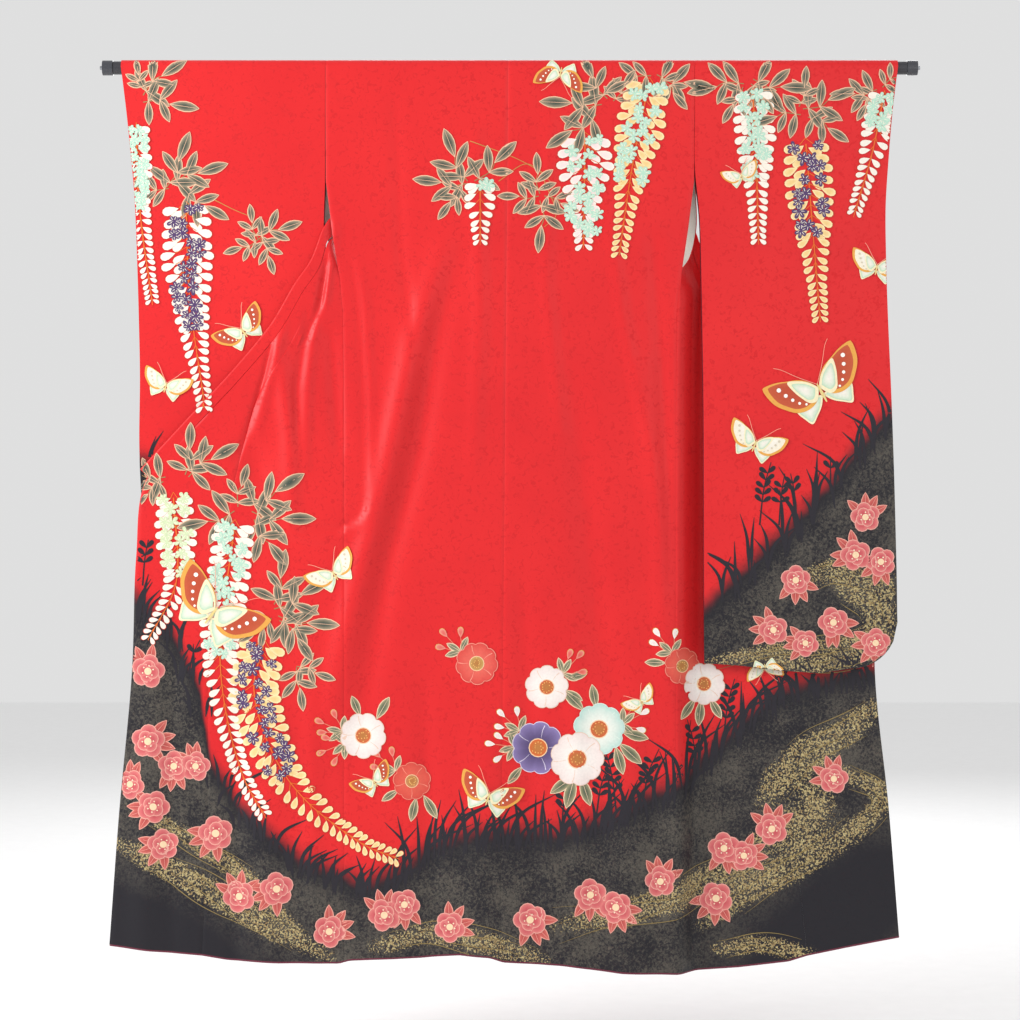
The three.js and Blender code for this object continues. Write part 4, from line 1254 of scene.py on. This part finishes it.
# x, z, radius, colour near the heart and at the rim, outline, heart, and a higher layer where one overlaps
BLOSSOMS = [
    (-256, -1167, 39, *WHITE_BLOSSOM), (-171, -1246, 32, *RED_BLOSSOM, "#C98A58"),
    (-58, -1041, 36, "#E86A5C", "#DC4A42", "#F29A88", "#C9A05C"), (64, -1082, 37, *WHITE_BLOSSOM),
    (49, -1188, 45, "#4A3A66", "#8C7CB0", "#E0D6EA", "#D8662E"),
    (155, -1155, 44, "#F2F0E6", "#B9DAD0", "#DCEBE0", "#CC5A34"), (117, -1207, 46, *WHITE_BLOSSOM, 8),
    (301, -1046, 31, *RED_BLOSSOM, "#B98A50"), (341, -1079, 36, *WHITE_BLOSSOM, 8),
]
BLOSSOM_LEAVES = [
    (112, -1238, 215, 50), (112, -1240, 255, 54), (124, -1240, 288, 50), (128, -1122, 135, 48),
    (150, -1118, 100, 40), (190, -1180, 318, 52), (196, -1160, 345, 46), (184, -1186, 285, 48),
    (325, -1105, 232, 42), (336, -1108, 264, 44), (352, -1106, 300, 38), (270, -1040, 178, 34),
    (96, -1088, 330, 34), (100, -1066, 12, 34), (-232, -1137, 60, 42), (-262, -1132, 112, 36),
    (-150, -1272, 300, 44), (-164, -1276, 258, 40), (-196, -1262, 214, 32), (20, -1222, 230, 36),
]
for x, z, degrees, length in BLOSSOM_LEAVES:
    leaf(flowers, (x, z), degrees, length, length * 0.34, inner="#56624E", rim="#A39C78", edge="#F0D2B0")
WHITE_BUDS, RED_BUDS = (SHELL, WHITE), ("#DE5C50", "#F0988A")
for buds in [(-86, -1020, 132, "#E0685C", "#F0988A"), (92, -1058, 42, *RED_BUDS),
             (16, -1158, 135, *WHITE_BUDS), (8, -1186, 178, *WHITE_BUDS), (196, -1146, 24, *WHITE_BUDS),
             (282, -1022, 122, *WHITE_BUDS),
             (-292, -1160, 150, *RED_BUDS), (-288, -1180, 205, *RED_BUDS), (-200, -1228, 140, *RED_BUDS)]:
    bud_spray(flowers, *buds)
for flower in BLOSSOMS:
    blossom(flowers, *flower)
print_on_cloth("dyed_blossoms", flowers)

# ---------------------------------------------------------------------------
# Camellias: small flowers and leaves in rose-red dye with pale outlines of
# rice paste, scattered over the black ground.
# ---------------------------------------------------------------------------
def camellia(design, x, z, radius):
    turn = random.uniform(0, 360)
    round_petal = round_outline(12)
    for k in range(4):
        leaf(design, (x, z), turn + 34 * k + random.uniform(-8, 8), radius * 1.75, radius * 0.56,
             inner="#B84A48", rim="#D06A60", edge="#EEA898")
    layer = 3
    for count, reach, size in ((5, 0.56, 0.56), (4, 0.3, 0.44)):
        for i in range(count):
            at = turned([(radius * reach, 0)], turn + 360 / count * i)[0] + (x, z)
            stamp(design, round_petal * radius * size, at, "#EBAA9C", layer=layer + i % 2)
            stamp(design, round_petal * (radius * size - 1.5), at, "#C9525A", "#DE7E7A", layer + 1 + i % 2)
        layer += 3
    stamp(design, round_petal * radius * 0.24, (x, z), "#F6D8B0", layer=layer + 1)
    for i in range(6):
        dot = turned([(radius * 0.36, 0)], 60 * i + turn)[0] + (x, z)
        stamp(design, round_petal[::3] * 1.6, dot, "#FBE6C8", layer=layer + 1)


camellias = new_print(ground=2)
CAMELLIAS = [
    (621, -786, 24), (604, -852, 25), (648, -864, 24), (499, -896, 24), (565, -970, 25),
    (460, -983, 24), (516, -1006, 22), (639, -1006, 24), (-630, -1054, 27), (-630, -1176, 27),
    (-586, -1220, 25), (-548, -1220, 24), (-662, -1251, 24), (-621, -1290, 26), (-604, -1356, 25),
    (-513, -1337, 28), (-472, -1447, 26), (-406, -1433, 27), (-315, -1508, 26), (-219, -1479, 26),
    (-184, -1461, 25), (-105, -1500, 25), (35, -1488, 27), (140, -1444, 26), (184, -1465, 26),
    (262, -1421, 25), (460, -1334, 26), (376, -1368, 26), (411, -1381, 24), (362, -1456, 27),
    (569, -1246, 24),
]
for flower in CAMELLIAS:
    camellia(camellias, *flower)
print_on_cloth("dyed_camellias", camellias)

# ---------------------------------------------------------------------------
# Grasses: black silhouettes of blades and leafy stems, which grow out of the
# black ground into the red.
# ---------------------------------------------------------------------------
BLACK_DYE = "#25222A"
grasses = new_print()


def tuft(x, z, reach, lean, blades):
    for _ in range(blades):
        foot = x + random.uniform(-22, 22)
        height = reach * random.uniform(0.5, 1.2)
        bend = lean * height + min(max(random.gauss(0, 0.5), -0.8), 0.8) * height
        path = [(foot, z), (foot + bend * 0.25, z + height * 0.6), (foot + bend, z + height)]
        stroke(grasses, path, (1.5, 6.6, 4.6, 0.8), BLACK_DYE, random.choice((0, 1)), spacing=9)


def leafy_stem(x, z, height, lean):
    path = [(x, z), (x + lean * 0.4, z + height * 0.6), (x + lean, z + height)]
    stroke(grasses, path, (3.0, 1.6), BLACK_DYE, 0, spacing=8)
    line = polyline(path, 1.0)
    for i in range(3, int(height / 13)):
        at = line[min(i * 13, len(line) - 1)]
        for side in (-1, 1):
            petal(grasses, at, 90 - side * random.uniform(35, 65), 18, 11, BLACK_DYE, BLACK_DYE, 1)


UNDER_EDGE = 34  # the foot of a tuft lies this far inside the black
GRASS_BELOW, GRASS_LEFT = -1062, -345  # on the body, grass grows only below the one or left of the other
# where grass grows: the black's edge on the body or on the sleeve, from x to x, its lean and its reach
for black, start, end, lean, reach in (
    (BODY_BLACK, -690, -560, 0.3, 70), (BODY_BLACK, -560, -400, 0.2, 60), (BODY_BLACK, -380, -200, 0.3, 70),
    (BODY_BLACK, -190, 200, 0.2, 95), (BODY_BLACK, 200, 470, 0.1, 105), (BODY_BLACK, 470, 690, -0.1, 70),
    (SLEEVE_BLACK, 384, 660, -0.1, 90), (SLEEVE_BLACK, -654, -630, 0.15, 80),
):
    x = start
    while x < end:
        z = lookup(black, x) - UNDER_EDGE
        if black is SLEEVE_BLACK or z < GRASS_BELOW or x < GRASS_LEFT:
            tuft(x, z, reach, lean, 4)
        x += random.uniform(18, 30)
# x, z, height, lean
STEMS = [
    (436, -800, 110, 20), (470, -800, 90, 10), (500, -780, 70, -10), (-640, -905, 80, 10),
    (150, -1310, 90, 20), (185, -1300, 110, -20), (230, -1290, 100, 30), (90, -1330, 80, 10),
    (330, -1240, 100, -20), (375, -1180, 110, 20), (-560, -1060, 60, 20), (560, -740, 60, 0),
]
for stem in STEMS:
    leafy_stem(*stem)
print_on_cloth("dyed_grasses", grasses)

# ---------------------------------------------------------------------------
# Gold lines: fine lines of gold paste that follow the edges of the speckled
# streams on the black, drawn by hand like water.
# ---------------------------------------------------------------------------
waterlines = new_print()
for half, _, path in BODY_STREAMS[:-1] + SLEEVE_STREAMS:
    course = polyline(path, 12.0)
    along = np.gradient(course, axis=0)
    aside = np.stack([-along[:, 1], along[:, 0]], axis=1) / np.linalg.norm(along, axis=1, keepdims=True)
    for reach in (-1.1, -0.5, 0.4, 1.12):
        sway = np.sin(np.arange(len(course)) * 0.3 + random.uniform(0, 6))[:, None] * half * 0.3
        first, last = int(len(course) * random.uniform(0, 0.4)), int(len(course) * random.uniform(0.65, 1.0))
        line = (course + aside * (half * reach + sway))[first:last]
        if len(line) > 3:
            stroke(waterlines, line, (0.3, 1.5, 1.1, 0.3), "#8E7A4A", 0, spacing=7)
print_on_cloth("gold_lines", waterlines)

# ---------------------------------------------------------------------------
# The sleeves' far sides: each sleeve is dyed on both faces, and the same
# design goes on round to the wearer's front.
# ---------------------------------------------------------------------------
SLEEVES = cloth_tree([sleeve_left, sleeve_right])
for name, design in [("wisteria", wisteria), ("butterflies", flutter), ("camellias", camellias),
                     ("grasses", grasses)]:
    print_on_cloth(f"dyed_{name}_far_side", design, SLEEVES, side=1)

# ---------------------------------------------------------------------------
# Studio: a matt white floor in an even white surround, a large soft key light
# at the left, a weaker fill at the right, and a light behind for the edges.
# ---------------------------------------------------------------------------
paper, tree, shader, place = shaded("matt_studio_paper", Roughness=0.9, Specular_IOR_Level=0.2)
feed(tree, shader, Base_Color=ramp(tree, noise(tree, place, 30.0, 4.0), "#F2F2F2", "#F8F8F8"))
FLOOR_Z, FLOOR_HALF = -1.75, 8
floor = add_mesh("studio_floor", [(x * FLOOR_HALF, y * FLOOR_HALF, FLOOR_Z) for x, y in
                                  [(-1, -1), (1, -1), (1, 1), (-1, 1)]], [(0, 1, 2, 3)])
floor.data.materials.append(paper)

bpy.context.scene.view_settings.view_transform = "Standard"
world = bpy.data.worlds.new("studio")
bpy.context.scene.world = world
world.use_nodes = True
world.node_tree.nodes["Background"].inputs["Color"].default_value = colour("#FFFFFF")
world.node_tree.nodes["Background"].inputs["Strength"].default_value = 0.74


def softbox(name, place, towards, size, power):
    lamp = bpy.data.lights.new(name, "AREA")
    lamp.shape, lamp.size, lamp.energy = "SQUARE", size, power
    made = bpy.data.objects.new(name, lamp)
    made.location = place
    made.rotation_euler = (Vector(towards) - Vector(place)).to_track_quat("-Z", "Y").to_euler()
    bpy.context.collection.objects.link(made)


softbox("key_light", (-3.0, -1.7, 0.5), (0.2, 0, -0.8), 1.2, 84)
softbox("fill_light", (2.0, -4.0, 0.6), (0, 0, -0.8), 2.2, 20)
softbox("back_light", (0.5, 3.2, 1.2), (0, 0, -0.8), 2.4, 60)
